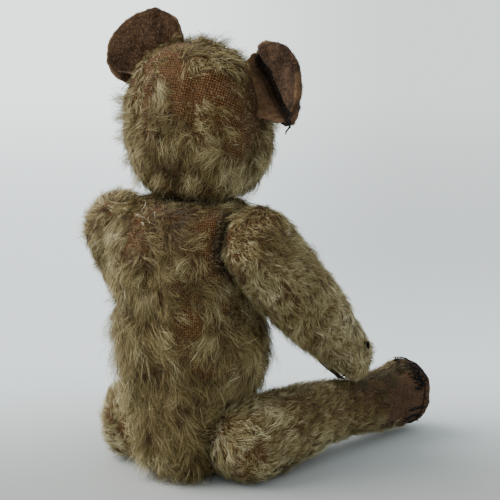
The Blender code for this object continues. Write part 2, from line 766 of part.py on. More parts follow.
def build_bear():
    """The torso, and on its five joints the head, arms and legs."""
    root = add_empty("torso", Matrix.Identity(4))
    frames = {"neck": neck_frame()}
    for side_name, side in SIDES.items():
        frames[f"{side_name}_shoulder"] = joint_frame(
            SHOULDER_AT, side, SHOULDER_YAW, SHOULDER_ROLL, ARM_DROP
        )
        frames[f"{side_name}_hip"] = joint_frame(HIP_AT, side, HIP_YAW, HIP_ROLL, LEG_DROP)
    build_torso(root, frames)
    moving = {joint: add_empty(f"{joint}_joint", frame, root) for joint, frame in frames.items()}
    for joint, frame in frames.items():
        hardware(joint, joint.split("_")[-1], moving[joint], root, frame)
    build_head(moving["neck"])
    for side_name in SIDES:
        build_arm(side_name, moving[f"{side_name}_shoulder"])
        build_leg(side_name, moving[f"{side_name}_hip"])


clear_scene()
build_bear()
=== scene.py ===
"""The looks of an old, seated, disc-jointed mohair bear, built over its packed shell.

Each cover of the shell is replaced by a cloth skin, which is let swell like packed stuffing
between its seams, and by the pile that grows on it. Lengths are written in millimetres, in the
shell's own frame: the bear faces -Y, sits on Z = 0, and has its own right side at -X.
"""

import json
import math

import bmesh
import bpy
import numpy as np
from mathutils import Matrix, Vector
from mathutils.bvhtree import BVHTree
from mathutils.kdtree import KDTree


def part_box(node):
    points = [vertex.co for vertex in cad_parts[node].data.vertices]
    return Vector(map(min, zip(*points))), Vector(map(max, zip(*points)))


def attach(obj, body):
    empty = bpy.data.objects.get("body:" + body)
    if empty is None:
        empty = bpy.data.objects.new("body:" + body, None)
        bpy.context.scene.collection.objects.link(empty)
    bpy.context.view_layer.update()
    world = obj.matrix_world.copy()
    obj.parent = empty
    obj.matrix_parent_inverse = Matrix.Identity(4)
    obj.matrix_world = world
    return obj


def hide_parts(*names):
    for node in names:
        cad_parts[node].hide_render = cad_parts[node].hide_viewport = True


MM = 0.001
SIDES = ("right", "left")
STUFFED = ("torso", "head", "right_arm", "left_arm", "right_leg", "left_leg")
BACKWARD = (0.0, 1.0, 0.0)
UPRIGHT = (0.0, 0.0, 1.0)
QUARTERS = (0.0, 0.25, 0.5, 0.75, 1.0)

# The cloth skin: how large its faces are and how often they are smoothed, how deep it lies within
# the cover, its lumps' size and height, and how near it comes to the stuffing and to the floor
SKIN_VOXEL = 4.0
SKIN_SMOOTHING = 5
SKIN_DEPTH = 0.3
SKIN_LUMP_SIZE = 9.0
SKIN_LUMP_HEIGHT = 0.4
STUFFING_CLEARANCE = 0.7
FLOOR_CLEARANCE = 0.1

# The skin's seams, and how far the two of the head's gusset lie from the head's middle
SEAM_HALF_WIDTH = 2.2
SEAM_DEPTH = 1.0
GUSSET_HALF_WIDTH = 15.0

# How the stuffing swells the skin: from how far within, and how far at the most
SWELL_START = 1.0
SWELL_LIMIT = 2.2
SWELL_FRAMES = 20
STUFFING_PRESSURE = 4.0

# Where the skin must stay put: below this height, within this gap and this reach of a joint, and
# this near to the box of what is sewn on
SEAT_HEIGHT = 1.6
PRESSED_BY_JOINT = (2.0, 48.0)
PRESSED_MARGIN = 1.5

# Where the head or a limb rubs, and where the skin gets painted shade in the gap by it: how near to
# its joint's plane, how far from the pin, and how wide the rubbed place's edge is
RUBBED_GAP = 5.0
RUBBED_REACH = {"neck": 25.0, "shoulder": 22.0, "hip": 24.0}
RUBBED_EDGE = 6.0

# The direction that the head's weave goes round
HEAD_GRAIN = (0.0, -0.5, 0.85)

# Worn spots of the pile: middle, radius, and how bare it is there
WORN_SPOTS = {
    "torso": [
        ((-27, 65, 132), 9, 1.0),
        ((-29, 68, 121), 9, 1.0),
        ((-29, 67, 111), 8, 0.95),
        ((-20, 73, 85), 9, 0.9),
        ((-23, 70, 63), 7, 0.75),
        ((-28, 62, 46), 8, 0.8),
        ((-31, 56, 94), 9, 0.9),
        ((11, 78, 119), 7, 0.7),
        ((18, 77, 114), 6, 0.6),
        ((10, 76, 131), 6, 0.6),
        ((-11, 71, 23), 5, 0.8),
        ((-14, 75, 74), 7, 0.85),
        ((-24, 66, 40), 5, 0.7),
        ((2, 78, 84), 4, 0.6),
        ((6, 76, 58), 4, 0.5),
        ((-14, 66, 144), 8, 0.9),
        ((6, 67, 139), 6, 0.95),
        ((-5, 67, 140), 6, 0.95),
    ],
    "head": [
        ((-24, 58, 194), 12, 0.95),
        ((-13, 64, 193), 11, 0.92),
        ((-2, 65, 196), 10, 0.9),
        ((-1, 62, 203), 8, 0.97),
        ((6, 54, 207), 6, 0.98),
        ((-14, 66, 186), 6, 0.75),
        ((12, 55, 202), 6, 0.98),
        ((19, 56, 194), 5, 0.98),
        ((-33, 49, 188), 10, 0.9),
        ((-26, 60, 184), 9, 0.7),
        ((-34, 48, 178), 11, 0.95),
        ((-34, 50, 169), 9, 0.85),
        ((-35, 34, 178), 11, 0.85),
        ((-30, 34, 196), 9, 0.9),
        ((-27, 54, 148), 6, 0.5),
        ((10, 66, 182), 5, 0.55),
        ((3, 62, 146), 4, 0.65),
        ((-13, 59, 145), 5, 0.55),
    ],
    "right_arm": [
        ((-53, 64, 118), 5, 0.5),
        ((-38, 62, 108), 6, 0.8),
        ((-56, 50, 99), 5, 0.5),
        ((-64, 9, 81), 5, 0.7),
    ],
    "right_leg": [
        ((-46, 31, 37), 6, 0.7),
        ((-44, 57, 20), 7, 0.6),
        ((-40, 61, 14), 8, 0.55),
        ((-53, 26, 19), 5, 0.4),
        ((-62, -24, 26), 8, 0.35),
    ],
}

# The way that the pile lies at a few places: place, direction, and how long and how upright it
# is there, where 1 is usual
FLOWS = {
    "torso": [
        ((28, 73, 127), (-0.3, 0.2, -0.9), 1.0, 1.0),
        ((28, 73, 111), (-0.6, 0.2, -0.8), 1.0, 1.0),
        ((-2, 78, 127), (-0.9, 0.1, -0.4), 0.7, 1.0),
        ((-9, 68, 136), (-0.8, -0.6, 0.2), 0.7, 1.0),
        ((2, 66, 140), (0.0, 0.8, -0.3), 0.45, 0.5),
        ((-20, 77, 122), (-0.5, 0.0, -0.8), 0.7, 1.0),
        ((0, 79, 112), (0.1, -0.1, -1.0), 0.9, 1.0),
        ((-7, 79, 104), (-0.9, -0.1, -0.5), 0.9, 1.0),
        ((-17, 76, 96), (-1.0, -0.3, 0.1), 0.9, 1.0),
        ((5, 78, 94), (0.2, -0.1, -1.0), 1.0, 1.0),
        ((-30, 64, 83), (0.3, 0.1, -1.0), 1.0, 1.0),
        ((-5, 77, 75), (-1.0, -0.1, 0.0), 1.3, 1.0),
        ((23, 72, 62), (0.1, 0.0, -1.0), 1.3, 1.0),
        ((20, 68, 38), (-0.5, 0.3, -0.8), 1.4, 1.0),
        ((-1, 75, 50), (-0.2, -0.1, -1.0), 1.3, 1.0),
        ((-20, 69, 42), (-0.5, -0.3, -0.7), 1.3, 1.0),
        ((-17, 70, 32), (-0.8, -0.3, -0.5), 1.2, 1.0),
        ((-17, 64, 19), (0.1, 0.2, -1.0), 1.5, 1.0),
    ],
    "head": [
        ((-10, 40, 214), (-0.8, 0.2, -0.1), 1.2, 2.0),
        ((0, 60, 205), (-0.9, 0.2, -0.6), 0.3, 0.35),
        ((7, 65, 195), (-0.6, 0.2, -0.8), 0.35, 0.4),
        ((15, 65, 187), (-0.3, 0.1, -1.0), 0.5, 0.6),
        ((28, 58, 184), (0.6, 0.1, -0.8), 0.8, 0.8),
        ((-29, 34, 198), (-0.3, 0.5, -0.8), 0.3, 0.4),
        ((-32, 33, 188), (0.0, 0.5, -0.8), 0.3, 0.4),
        ((-9, 56, 210), (-0.8, 0.3, -0.3), 1.0, 1.5),
        ((-24, 42, 208), (-0.7, 0.3, -0.5), 1.4, 2.0),
        ((8, 68, 186), (0.6, 0.1, -0.8), 1.0, 1.0),
        ((19, 65, 174), (0.4, 0.0, -0.9), 1.0, 1.0),
        ((-19, 65, 189), (-0.6, 0.0, -0.8), 1.1, 1.0),
        ((-6, 69, 176), (0.0, 0.0, -1.0), 1.0, 1.0),
        ((-28, 59, 167), (-0.6, -0.3, -0.7), 1.1, 1.0),
        ((-30, 50, 155), (0.3, 0.1, -0.9), 1.2, 1.0),
        ((18, 63, 157), (0.1, 0.0, -1.0), 1.1, 1.0),
        ((6, 60, 147), (0.0, 0.3, -1.0), 0.45, 0.4),
        ((-8, 59, 146), (0.0, 0.3, -1.0), 0.45, 0.4),
    ],
    "right_arm": [
        ((-35, 49, 137), (0.5, 0.4, -0.8), 0.8, 1.0),
        ((-50, 64, 122), (-0.7, -0.3, -0.6), 0.8, 1.0),
        ((-50, 57, 104), (-0.5, -0.8, -0.2), 1.0, 1.0),
        ((-36, 64, 111), (-0.5, -0.3, -0.8), 0.9, 1.0),
        ((-57, 35, 82), (-0.3, -0.6, -0.7), 1.1, 1.0),
    ],
    "right_leg": [
        ((-35, 35, 40), (-0.8, -0.5, 0.1), 0.9, 1.0),
        ((-53, 29, 30), (-0.1, -0.9, 0.4), 1.0, 1.0),
        ((-53, 36, 21), (-0.2, -1.0, 0.1), 1.0, 1.0),
        ((-35, 65, 19), (-0.9, -0.1, -0.4), 1.0, 1.0),
        ((-59, -2, 28), (-0.1, -1.0, 0.0), 0.8, 1.0),
    ],
}

# How bare the patches are that lie all over a body, and on the limbs
PATCHINESS = {"torso": 0.7, "head": 0.6}
LIMB_PATCHINESS = 0.3

# Tufts: middle, radius, direction, length, how many strands, and how pale
TUFTS = {
    "head": [
        ((4, 64, 197), 2.4, (-0.8, 0.05, -0.75), 11.0, 130, 0.6),
        ((4, 66, 191), 3.5, (-0.6, 0.05, -0.9), 10.0, 140, 0.58),
        ((27, 58, 185), 4.5, (0.9, 0.5, 0.25), 8.0, 190, 0.74),
        ((30, 56, 178), 4.5, (0.9, 0.4, -0.2), 7.0, 170, 0.68),
        ((30, 57, 168), 4.0, (0.8, 0.3, -0.5), 7.0, 120, 0.66),
        ((-33, 28, 177), 4.0, (-0.9, -0.1, -0.35), 8.5, 190, 0.72),
        ((-34, 31, 172), 4.0, (-0.9, 0.0, -0.5), 7.0, 150, 0.66),
        ((-33, 31, 184), 3.0, (-0.5, 0.5, -0.7), 5.0, 60, 0.7),
        ((-33, 38, 160), 4.0, (-0.7, 0.0, -0.6), 6.0, 70, 0.7),
        ((-20, 52, 205), 4.0, (-0.7, 0.4, -0.3), 8.0, 90, 0.62),
        ((-30, 48, 151), 4.5, (-0.1, 0.25, -1.0), 9.0, 190, 0.64),
        ((-14, 62, 152), 5.0, (0.1, 0.3, -1.0), 8.5, 150, 0.58),
        ((4, 64, 152), 5.0, (0.2, 0.3, -1.0), 8.0, 130, 0.56),
        ((-36, 34, 158), 4.5, (-0.7, 0.1, -0.8), 8.0, 170, 0.66),
        ((19, 57, 151), 4.5, (0.3, 0.3, -0.9), 8.5, 170, 0.66),
        ((27, 51, 158), 4.5, (0.7, 0.3, -0.7), 8.0, 170, 0.68),
        ((12, 66, 166), 5.0, (0.5, 0.2, -0.8), 9.0, 110, 0.6),
        ((-2, 68, 168), 5.0, (-0.5, 0.2, -0.8), 9.0, 110, 0.58),
        ((22, 62, 178), 5.0, (0.7, 0.2, -0.7), 9.0, 110, 0.64),
    ],
    "torso": [
        ((12, 68, 12), 5.0, (-0.3, 0.5, -0.5), 11.0, 240, 0.8),
        ((2, 68, 14), 4.0, (-0.5, 0.4, -0.5), 10.0, 170, 0.76),
        ((20, 62, 20), 5.0, (-0.2, 0.4, -0.7), 12.0, 160, 0.74),
        ((35, 58, 70), 5.0, (0.7, 0.4, -0.5), 9.0, 110, 0.74),
        ((33, 62, 92), 5.0, (0.6, 0.4, -0.7), 9.0, 110, 0.72),
        ((26, 70, 104), 6.0, (0.1, 0.1, -1.0), 11.0, 160, 0.72),
        ((24, 70, 84), 6.0, (0.0, 0.1, -1.0), 12.0, 160, 0.7),
        ((12, 75, 72), 6.0, (-0.5, 0.1, -0.9), 13.0, 150, 0.66),
        ((20, 71, 50), 6.0, (-0.2, 0.1, -1.0), 13.0, 200, 0.76),
        ((30, 62, 112), 5.0, (0.3, 0.2, -1.0), 11.0, 150, 0.78),
        ((28, 66, 36), 5.0, (0.3, 0.3, -0.9), 12.0, 150, 0.78),
        ((4, 76, 96), 5.0, (-0.2, 0.1, -1.0), 11.0, 100, 0.6),
    ],
    "left_arm": [
        ((40, 62, 116), 5.0, (0.5, 0.3, -0.8), 8.0, 110, 0.75),
    ],
}

# Where the pile is paler or darker, with dirt and painted shade among the darker places: place,
# radius, and how much paler it is (1 is most)
TINTED = {
    "torso": [
        ((30, 70, 118), 16, 0.22),
        ((28, 66, 62), 16, 0.14),
        ((24, 66, 30), 15, 0.12),
        ((-14, 70, 50), 20, -0.16),
        ((-22, 60, 30), 14, -0.1),
        # Painted shade at the nape, under the head
        ((-12, 62, 144), 12, -0.22),
        ((-6, 72, 130), 15, -0.24),
        ((-8, 74, 100), 18, -0.1),
    ],
    "head": [
        # Painted shade under the head, at the nape
        ((-6, 62, 152), 17, -0.42),
        ((26, 60, 172), 15, 0.14),
        ((8, 68, 172), 14, -0.06),
        ((-32, 48, 152), 9, 0.2),
    ],
    "right_arm": [
        ((-46, 58, 126), 16, -0.24),
        ((-66, 0, 72), 18, 0.1),
    ],
    "right_leg": [
        # Painted shadow of the arm over the ankle, with dirt on the foot
        ((-58, -12, 30), 14, -0.36),
        ((-60, -36, 34), 18, -0.62),
        ((-66, -56, 36), 14, -0.5),
        ((-44, 48, 14), 16, 0.04),
        ((-48, 20, 32), 17, -0.3),
    ],
    "left_arm": [
        ((44, 60, 118), 22, -0.14),
    ],
    "left_leg": [
        ((60, -40, 30), 22, -0.15),
    ],
}


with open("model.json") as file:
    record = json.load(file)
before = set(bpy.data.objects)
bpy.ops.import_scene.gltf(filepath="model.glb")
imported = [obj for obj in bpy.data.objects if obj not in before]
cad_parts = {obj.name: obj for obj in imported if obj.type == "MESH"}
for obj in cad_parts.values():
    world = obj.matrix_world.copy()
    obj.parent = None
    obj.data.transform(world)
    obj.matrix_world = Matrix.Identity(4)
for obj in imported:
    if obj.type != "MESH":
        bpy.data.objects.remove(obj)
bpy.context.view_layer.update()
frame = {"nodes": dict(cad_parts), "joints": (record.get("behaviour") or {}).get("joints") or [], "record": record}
joints = {joint["name"]: joint for joint in frame["joints"]}


# ---------------------------------------------------------------- small tools


def unit(vectors):
    """Vectors made one long."""
    vectors = np.asarray(vectors, float)
    return vectors / np.maximum(np.linalg.norm(vectors, axis=-1, keepdims=True), 1e-12)


def smoothstep(low, high, values):
    """0 below low, 1 above high, and a smooth rise between."""
    share = np.clip((values - low) / (high - low), 0.0, 1.0)
    return share * share * (3.0 - 2.0 * share)


def bell(values, middle, width):
    """1 at the middle, and less to both sides of it."""
    return np.exp(-(((values - middle) / width) ** 2))


# How many waves are added up in a drift, how their rates vary, and what evens out its height
DRIFT_WAVES = 14
DRIFT_RATES = (0.6, 1.5)
DRIFT_HEIGHT = 1.6


def drift(seed, size):
    """A smooth random field over space, mostly within -1 to 1, whose lumps are about that size."""
    rng = np.random.default_rng(seed)
    waves = unit(rng.normal(size=(DRIFT_WAVES, 3))) * rng.uniform(*DRIFT_RATES, (DRIFT_WAVES, 1))
    waves *= math.pi / size
    phases = rng.uniform(0.0, math.tau, DRIFT_WAVES)

    def field(points):
        return np.sin(points @ waves.T + phases).sum(1) / math.sqrt(DRIFT_WAVES / 2) / DRIFT_HEIGHT

    return field


def points_of(shape):
    """A mesh's vertices, in millimetres."""
    found = np.empty(len(shape.vertices) * 3)
    shape.vertices.foreach_get("co", found)
    return found.reshape(-1, 3) / MM


def put_points(shape, points):
    """Move a mesh's vertices to places in millimetres."""
    shape.vertices.foreach_set("co", np.asarray(points, np.float32).ravel() * MM)
    shape.update()


def normals_of(shape):
    """A mesh's vertex normals."""
    return np.array([normal.vector for normal in shape.vertex_normals], float)


def box_of(name):
    """The lowest and highest corners of a piece's box, in millimetres."""
    low, high = (np.array(corner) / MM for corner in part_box(name))
    return low, high


def placed(name, data):
    """A new object in the scene."""
    made = bpy.data.objects.new(name, data)
    bpy.context.scene.collection.objects.link(made)
    return made


def add_piece(name, shape, finish, body):
    """A new piece of the bear that rides on one body."""
    piece = placed(name, shape)
    shape.materials.clear()
    shape.materials.append(finish)
    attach(piece, body)
    return piece


def applied(piece):
    """The mesh that an object's modifiers make."""
    bpy.context.view_layer.update()
    graph = bpy.context.evaluated_depsgraph_get()
    return bpy.data.meshes.new_from_object(piece.evaluated_get(graph))


def modified(shape, *steps):
    """A mesh after a list of (modifier type, its settings)."""
    carrier = placed("carrier", shape)
    for kind, settings in steps:
        step = carrier.modifiers.new(kind.title(), kind)
        for key, value in settings.items():
            setattr(step, key, value)
    made = applied(carrier)
    bpy.data.objects.remove(carrier)
    return made


def remeshed(shape, voxel, smoothing):
    """A copy of a mesh with even faces of that size, smoothed that many times."""
    return modified(
        shape.copy(),
        ("REMESH", {"mode": "VOXEL", "voxel_size": voxel * MM, "use_smooth_shade": True}),
        ("SMOOTH", {"factor": 0.5, "iterations": smoothing}),
    )


def corners_of(shape):
    """The vertex at each corner of each of a mesh's faces."""
    found = np.empty(len(shape.loops), np.int32)
    shape.loops.foreach_get("vertex_index", found)
    return found


def add_map(shape, name, places):
    """A map of two values at each corner of each of a mesh's faces."""
    layer = shape.uv_layers.new(name=name, do_init=False)
    layer.uv.foreach_set("vector", places.astype(np.float32).ravel())


def triangles_mesh(name, points, faces, uv=None):
    """A mesh of triangles from arrays, with a map of two values at each corner if it is given."""
    shape = bpy.data.meshes.new(name)
    shape.vertices.add(len(points))
    shape.loops.add(len(faces) * 3)
    shape.polygons.add(len(faces))
    shape.vertices.foreach_set("co", (points * MM).astype(np.float32).ravel())
    shape.loops.foreach_set("vertex_index", faces.astype(np.int32).ravel())
    shape.polygons.foreach_set("loop_start", np.arange(0, len(faces) * 3, 3, dtype=np.int32))
    shape.polygons.foreach_set("use_smooth", np.ones(len(faces), bool))
    if uv is not None:
        add_map(shape, "OFBake", uv[faces.ravel()])
    shape.update(calc_edges=True)
    return shape


def editable(*shapes):
    """One or more meshes, together, ready to be edited."""
    made = bmesh.new()
    for shape in shapes:
        made.from_mesh(shape)
    return made


def edited(name, shape):
    """The mesh that editing has made."""
    made = bpy.data.meshes.new(name)
    shape.to_mesh(made)
    shape.free()
    return made


def tree_of(shape):
    """A mesh, ready to be searched."""
    made = editable(shape)
    tree = BVHTree.FromBMesh(made)
    made.free()
    return tree


def landed(trees, origin, direction, above=0.0):
    """Where a ray first meets one of several surfaces, lifted a little above it."""
    best = None
    for tree in trees:
        place, normal, _, distance = tree.ray_cast(Vector(origin) * MM, Vector(direction))
        if place is not None and (best is None or distance < best[0]):
            best = (distance, place, normal)
    if best is None:
        return None
    return np.array(best[1]) / MM + np.array(best[2]) * above


def nearest_on(tree, point):
    """The place on a surface that is nearest to a point, and the surface's normal there."""
    place, normal, _, _ = tree.find_nearest(Vector(point) * MM)
    return np.array(place) / MM, np.array(normal)


def above_surface(tree, point):
    """How far a point lies out of a surface, and the surface's normal there."""
    place, normal = nearest_on(tree, point)
    return float((point - place) @ normal), normal


def pushed_out(points, tree, least):
    """Points, moved out wherever they lie less far out of a surface than that."""
    moved = points.copy()
    for index, (point, lowest) in enumerate(zip(points, np.broadcast_to(least, len(points)))):
        height, normal = above_surface(tree, point)
        if height < lowest:
            moved[index] = point + normal * (lowest - height)
    return moved


def across_and_up(facing):
    """Two directions across the way that something faces: a level one, and one that rises."""
    across = unit(np.cross(facing, UPRIGHT))
    return across, np.cross(across, facing)


# A direction that no thread runs along, and how much thinner a thread is at its ends
ASKEW = (0.3, 0.5, 0.8)
THREAD_THINNING = 0.25
THREAD_SIDES = 6


def tubes(name, lines, radius):
    """Round threads along lines of points, in one mesh, each closed at both ends."""
    sides = THREAD_SIDES
    points, faces = [], []
    for line in lines:
        line = np.asarray(line, float)
        tangent = unit(np.gradient(line, axis=0))
        side = unit(np.cross(tangent, ASKEW))
        other = np.cross(tangent, side)
        first = len(points)
        count = len(line)
        for row in range(count):
            thin = radius * (1.0 - THREAD_THINNING * abs(2.0 * row / (count - 1) - 1.0) ** 3)
            for step in range(sides):
                turn = math.tau * step / sides
                offset = side[row] * math.cos(turn) + other[row] * math.sin(turn)
                points.append(line[row] + offset * thin)
        points += [line[0], line[-1]]
        start, end = len(points) - 2, len(points) - 1
        for step in range(sides):
            after = (step + 1) % sides
            for row in range(count - 1):
                a, b = first + row * sides + step, first + row * sides + after
                faces += [(a, b, b + sides), (a, b + sides, a + sides)]
            last = first + (count - 1) * sides
            faces += [(start, first + after, first + step), (end, last + step, last + after)]
    return triangles_mesh(name, np.array(points), np.array(faces))


def smooth_line(points, count):
    """A line of points, made into a smooth one by going round its corners."""
    points = np.asarray(points, float)
    places = np.linspace(0.0, len(points) - 1.0, count)
    found = []
    for place in places:
        index = min(int(place), len(points) - 2)
        share = place - index
        before = points[max(index - 1, 0)]
        low, high = points[index], points[index + 1]
        after = points[min(index + 2, len(points) - 1)]
        found.append(
            0.5 * (
                2 * low + (high - before) * share
                + (2 * before - 5 * low + 4 * high - after) * share**2
                + (3 * low - before - 3 * high + after) * share**3
            )
        )
    return np.array(found)


def add_threads(name, body, finish, lines, radius):
    """A piece of threads along lines of points."""
    piece = add_piece(name, tubes(name, lines, radius), finish, body)
    return piece


def paint(shape, name, values):
    """One value at each vertex, that a material can read."""
    layer = shape.attributes.new(name, "FLOAT", "POINT")
    layer.data.foreach_set("value", np.asarray(values, np.float32))


# ---------------------------------------------------------------- node trees


def linear(red, green, blue):
    """A colour given in 0 to 255 as a display shows it, as the light that it stands for."""
    share = np.array([red, green, blue]) / 255.0
    light = np.where(share <= 0.04045, share / 12.92, ((share + 0.055) / 1.055) ** 2.4)
    return (*(float(value) for value in light), 1.0)


def node(tree, kind, inputs=None, **settings):
    """A node with its settings, and each input either linked or given a value."""
    made = tree.nodes.new(kind)
    for key, value in settings.items():
        setattr(made, key, value)
    for key, value in (inputs or {}).items():
        if isinstance(value, bpy.types.NodeSocket):
            tree.links.new(value, made.inputs[key])
        else:
            made.inputs[key].default_value = value
    return made


def maths(tree, operation, *values):
    """A Math node's result."""
    return node(tree, "ShaderNodeMath", dict(enumerate(values)), operation=operation).outputs[0]


def ramp(tree, factor, *stops):
    """A Color Ramp's colour, from (place, colour) stops."""
    made = node(tree, "ShaderNodeValToRGB", {"Fac": factor})
    elements = made.color_ramp.elements
    while len(elements) < len(stops):
        elements.new(0.5)
    for element, (place, colour) in zip(elements, stops):
        element.position = place
        element.color = colour
    return made.outputs["Color"]


# The Mix node's sockets for colours
MIX_FACTOR, MIX_FIRST, MIX_SECOND, MIXED = 0, 6, 7, 2


def mix(tree, factor, first, second):
    """A colour mixed from two."""
    inputs = {MIX_FACTOR: factor, MIX_FIRST: first, MIX_SECOND: second}
    return node(tree, "ShaderNodeMix", inputs, data_type="RGBA").outputs[MIXED]


def noise(tree, place, scale, detail, roughness):
    """A noise pattern's value, from 0 to 1."""
    inputs = {"Vector": place, "Scale": scale, "Detail": detail, "Roughness": roughness}
    return node(tree, "ShaderNodeTexNoise", inputs).outputs["Fac"]


def spread_out(tree, value, low=0.0, high=1.0, to_low=0.0, to_high=1.0, kind="LINEAR"):
    """A value between low and high, spread out to lie between two others."""
    inputs = {"Value": value, "From Min": low, "From Max": high, "To Min": to_low, "To Max": to_high}
    return node(tree, "ShaderNodeMapRange", inputs, interpolation_type=kind).outputs[0]


def vector_maths(tree, operation, inputs):
    """A Vector Math node's outputs."""
    return node(tree, "ShaderNodeVectorMath", inputs, operation=operation).outputs


def painted(tree, name):
    """The value that was painted on each vertex under that name."""
    return node(tree, "ShaderNodeAttribute", attribute_name=name).outputs["Fac"]


def new_group(name, inputs, outputs):
    """A shader node group with (name, socket type, value) inputs and (name, type) outputs."""
    group = bpy.data.node_groups.new(name, "ShaderNodeTree")
    for label, kind, value in inputs:
        socket = group.interface.new_socket(label, in_out="INPUT", socket_type=kind)
        if value is not None:
            socket.default_value = value
    for label, kind in outputs:
        group.interface.new_socket(label, in_out="OUTPUT", socket_type=kind)
    return group, group.nodes.new("NodeGroupInput"), group.nodes.new("NodeGroupOutput")


def woven_group():
    """Plain weave: crossing threads that vary in thickness, as a height and as gaps between."""
    group, given, gives = new_group(
        "Woven threads",
        [("Place", "NodeSocketVector", None), ("Unevenness", "NodeSocketFloat", 0.3)],
        [("Height", "NodeSocketFloat"), ("Gaps", "NodeSocketFloat")],
    )
    place = given.outputs["Place"]
    wander = node(group, "ShaderNodeTexNoise", {"Vector": place, "Scale": 0.35, "Detail": 2.0})
    centred = vector_maths(group, "SUBTRACT", {0: wander.outputs["Color"], 1: (0.5, 0.5, 0.5)})[0]
    strength = maths(group, "MULTIPLY", given.outputs["Unevenness"], 4.0)
    shift = vector_maths(group, "SCALE", {0: centred, "Scale": strength})[0]
    moved = vector_maths(group, "ADD", {0: place, 1: shift})[0]
    split = node(group, "ShaderNodeSeparateXYZ", {"Vector": moved})
    waves = []
    for axis in ("X", "Y"):
        wave = maths(group, "SINE", maths(group, "MULTIPLY", split.outputs[axis], math.pi))
        waves.append(wave)
    over = maths(group, "GREATER_THAN", maths(group, "MULTIPLY", waves[0], waves[1]), 0.0)
    warp = maths(group, "ABSOLUTE", waves[0])
    weft = maths(group, "ABSOLUTE", waves[1])
    under = maths(group, "SUBTRACT", 1.0, over)
    crown = maths(group, "ADD", maths(group, "MULTIPLY", warp, over), maths(group, "MULTIPLY", weft, under))
    group.links.new(crown, gives.inputs["Height"])
    gaps = maths(group, "SUBTRACT", 1.0, maths(group, "MULTIPLY", warp, weft))
    group.links.new(gaps, gives.inputs["Gaps"])
    return group


def soiling_group():
    """Soft blotches of dirt and fading, and a fine speckle, both from 0 to 1."""
    group, given, gives = new_group(
        "Soiling",
        [("Place", "NodeSocketVector", None), ("Blotch size", "NodeSocketFloat", 1.0)],
        [("Blotches", "NodeSocketFloat"), ("Speckle", "NodeSocketFloat")],
    )
    scale = maths(group, "DIVIDE", 60.0, given.outputs["Blotch size"])
    broad = noise(group, given.outputs["Place"], scale, 4.0, 0.6)
    fine = noise(group, given.outputs["Place"], maths(group, "MULTIPLY", scale, 14.0), 2.0, 0.5)
    for label, value, low, high in (("Blotches", broad, 0.36, 0.64), ("Speckle", fine, 0.4, 0.65)):
        group.links.new(spread_out(group, value, low, high), gives.inputs[label])
    return group


WOVEN = woven_group()
SOILING = soiling_group()
# How far apart the threads of the backing and of the pads' cloth lie
CLOTH_PITCH = 0.9


def use_group(tree, group, inputs):
    """The outputs of a group, placed in a material with its own values."""
    return node(tree, "ShaderNodeGroup", inputs, node_tree=group).outputs


def new_material(name, roughness, specular, sheen=0.0):
    """A material and its Principled shader, with what is the same all over set on the shader."""
    made = bpy.data.materials.new(name)
    made.use_nodes = True
    shader = made.node_tree.nodes["Principled BSDF"]
    shader.inputs["Roughness"].default_value = roughness
    shader.inputs["Specular IOR Level"].default_value = specular
    shader.inputs["Sheen Weight"].default_value = sheen
    return made, made.node_tree, shader


def bump(tree, shader, height, strength, distance):
    """Relief from a height, as deep as that distance in millimetres where it is strongest."""
    made = node(
        tree,
        "ShaderNodeBump",
        {"Strength": strength, "Distance": distance * MM, "Height": height},
    )
    tree.links.new(made.outputs["Normal"], shader.inputs["Normal"])


def object_place(tree):
    """Where each point lies on its own piece, in metres."""
    return node(tree, "ShaderNodeTexCoord").outputs["Object"]


def thread_place(tree, pitch):
    """The cloth's own map, counted in threads."""
    mapped = node(tree, "ShaderNodeUVMap", uv_map="Cloth").outputs["UV"]
    return vector_maths(tree, "SCALE", {0: mapped, "Scale": 1.0 / pitch})[0]


def cloth_material(name, light, dark, stain):
    """Woven cloth: lighter thread crowns, dark gaps, and blotches of a third colour."""
    made, tree, shader = new_material(name, 0.9, specular=0.12, sheen=0.05)
    weave = use_group(tree, WOVEN, {"Place": thread_place(tree, CLOTH_PITCH), "Unevenness": 0.3})
    soil = use_group(tree, SOILING, {"Place": object_place(tree)})
    gap = maths(tree, "POWER", weave["Gaps"], 1.2)
    colour = mix(tree, gap, light, dark)
    colour = mix(tree, maths(tree, "MULTIPLY", soil["Blotches"], 0.75), colour, stain)
    colour = mix(tree, maths(tree, "MULTIPLY", gap, 0.55), colour, dark)
    colour = mix(tree, maths(tree, "MULTIPLY", soil["Speckle"], 0.35), colour, dark)
    # Painted shade in the gaps by the joints on the skins, with the dirt that gathers there, and random darker
    # blotches on the pads
    creased = maths(tree, "MULTIPLY", painted(tree, "ShadeAndSoil"), 0.9)
    colour = mix(tree, creased, colour, linear(12, 8, 5))
    tree.links.new(colour, shader.inputs["Base Color"])
    bump(tree, shader, weave["Height"], 0.7, 0.25)
    return made


def pile_material(name, roots, tones):
    """Mohair: each strand has a tone, and is darker and browner at its root."""
    made, tree, shader = new_material(name, 0.55, specular=0.25)
    mapped = node(tree, "ShaderNodeUVMap", uv_map="OFBake").outputs["UV"]
    split = node(tree, "ShaderNodeSeparateXYZ", {"Vector": mapped})
    tone = ramp(tree, split.outputs["X"], *tones)
    fade = spread_out(tree, split.outputs["Y"], 0.02, 0.5, kind="SMOOTHSTEP")
    root = ramp(tree, split.outputs["X"], *roots)
    tree.links.new(mix(tree, fade, root, tone), shader.inputs["Base Color"])
    return made


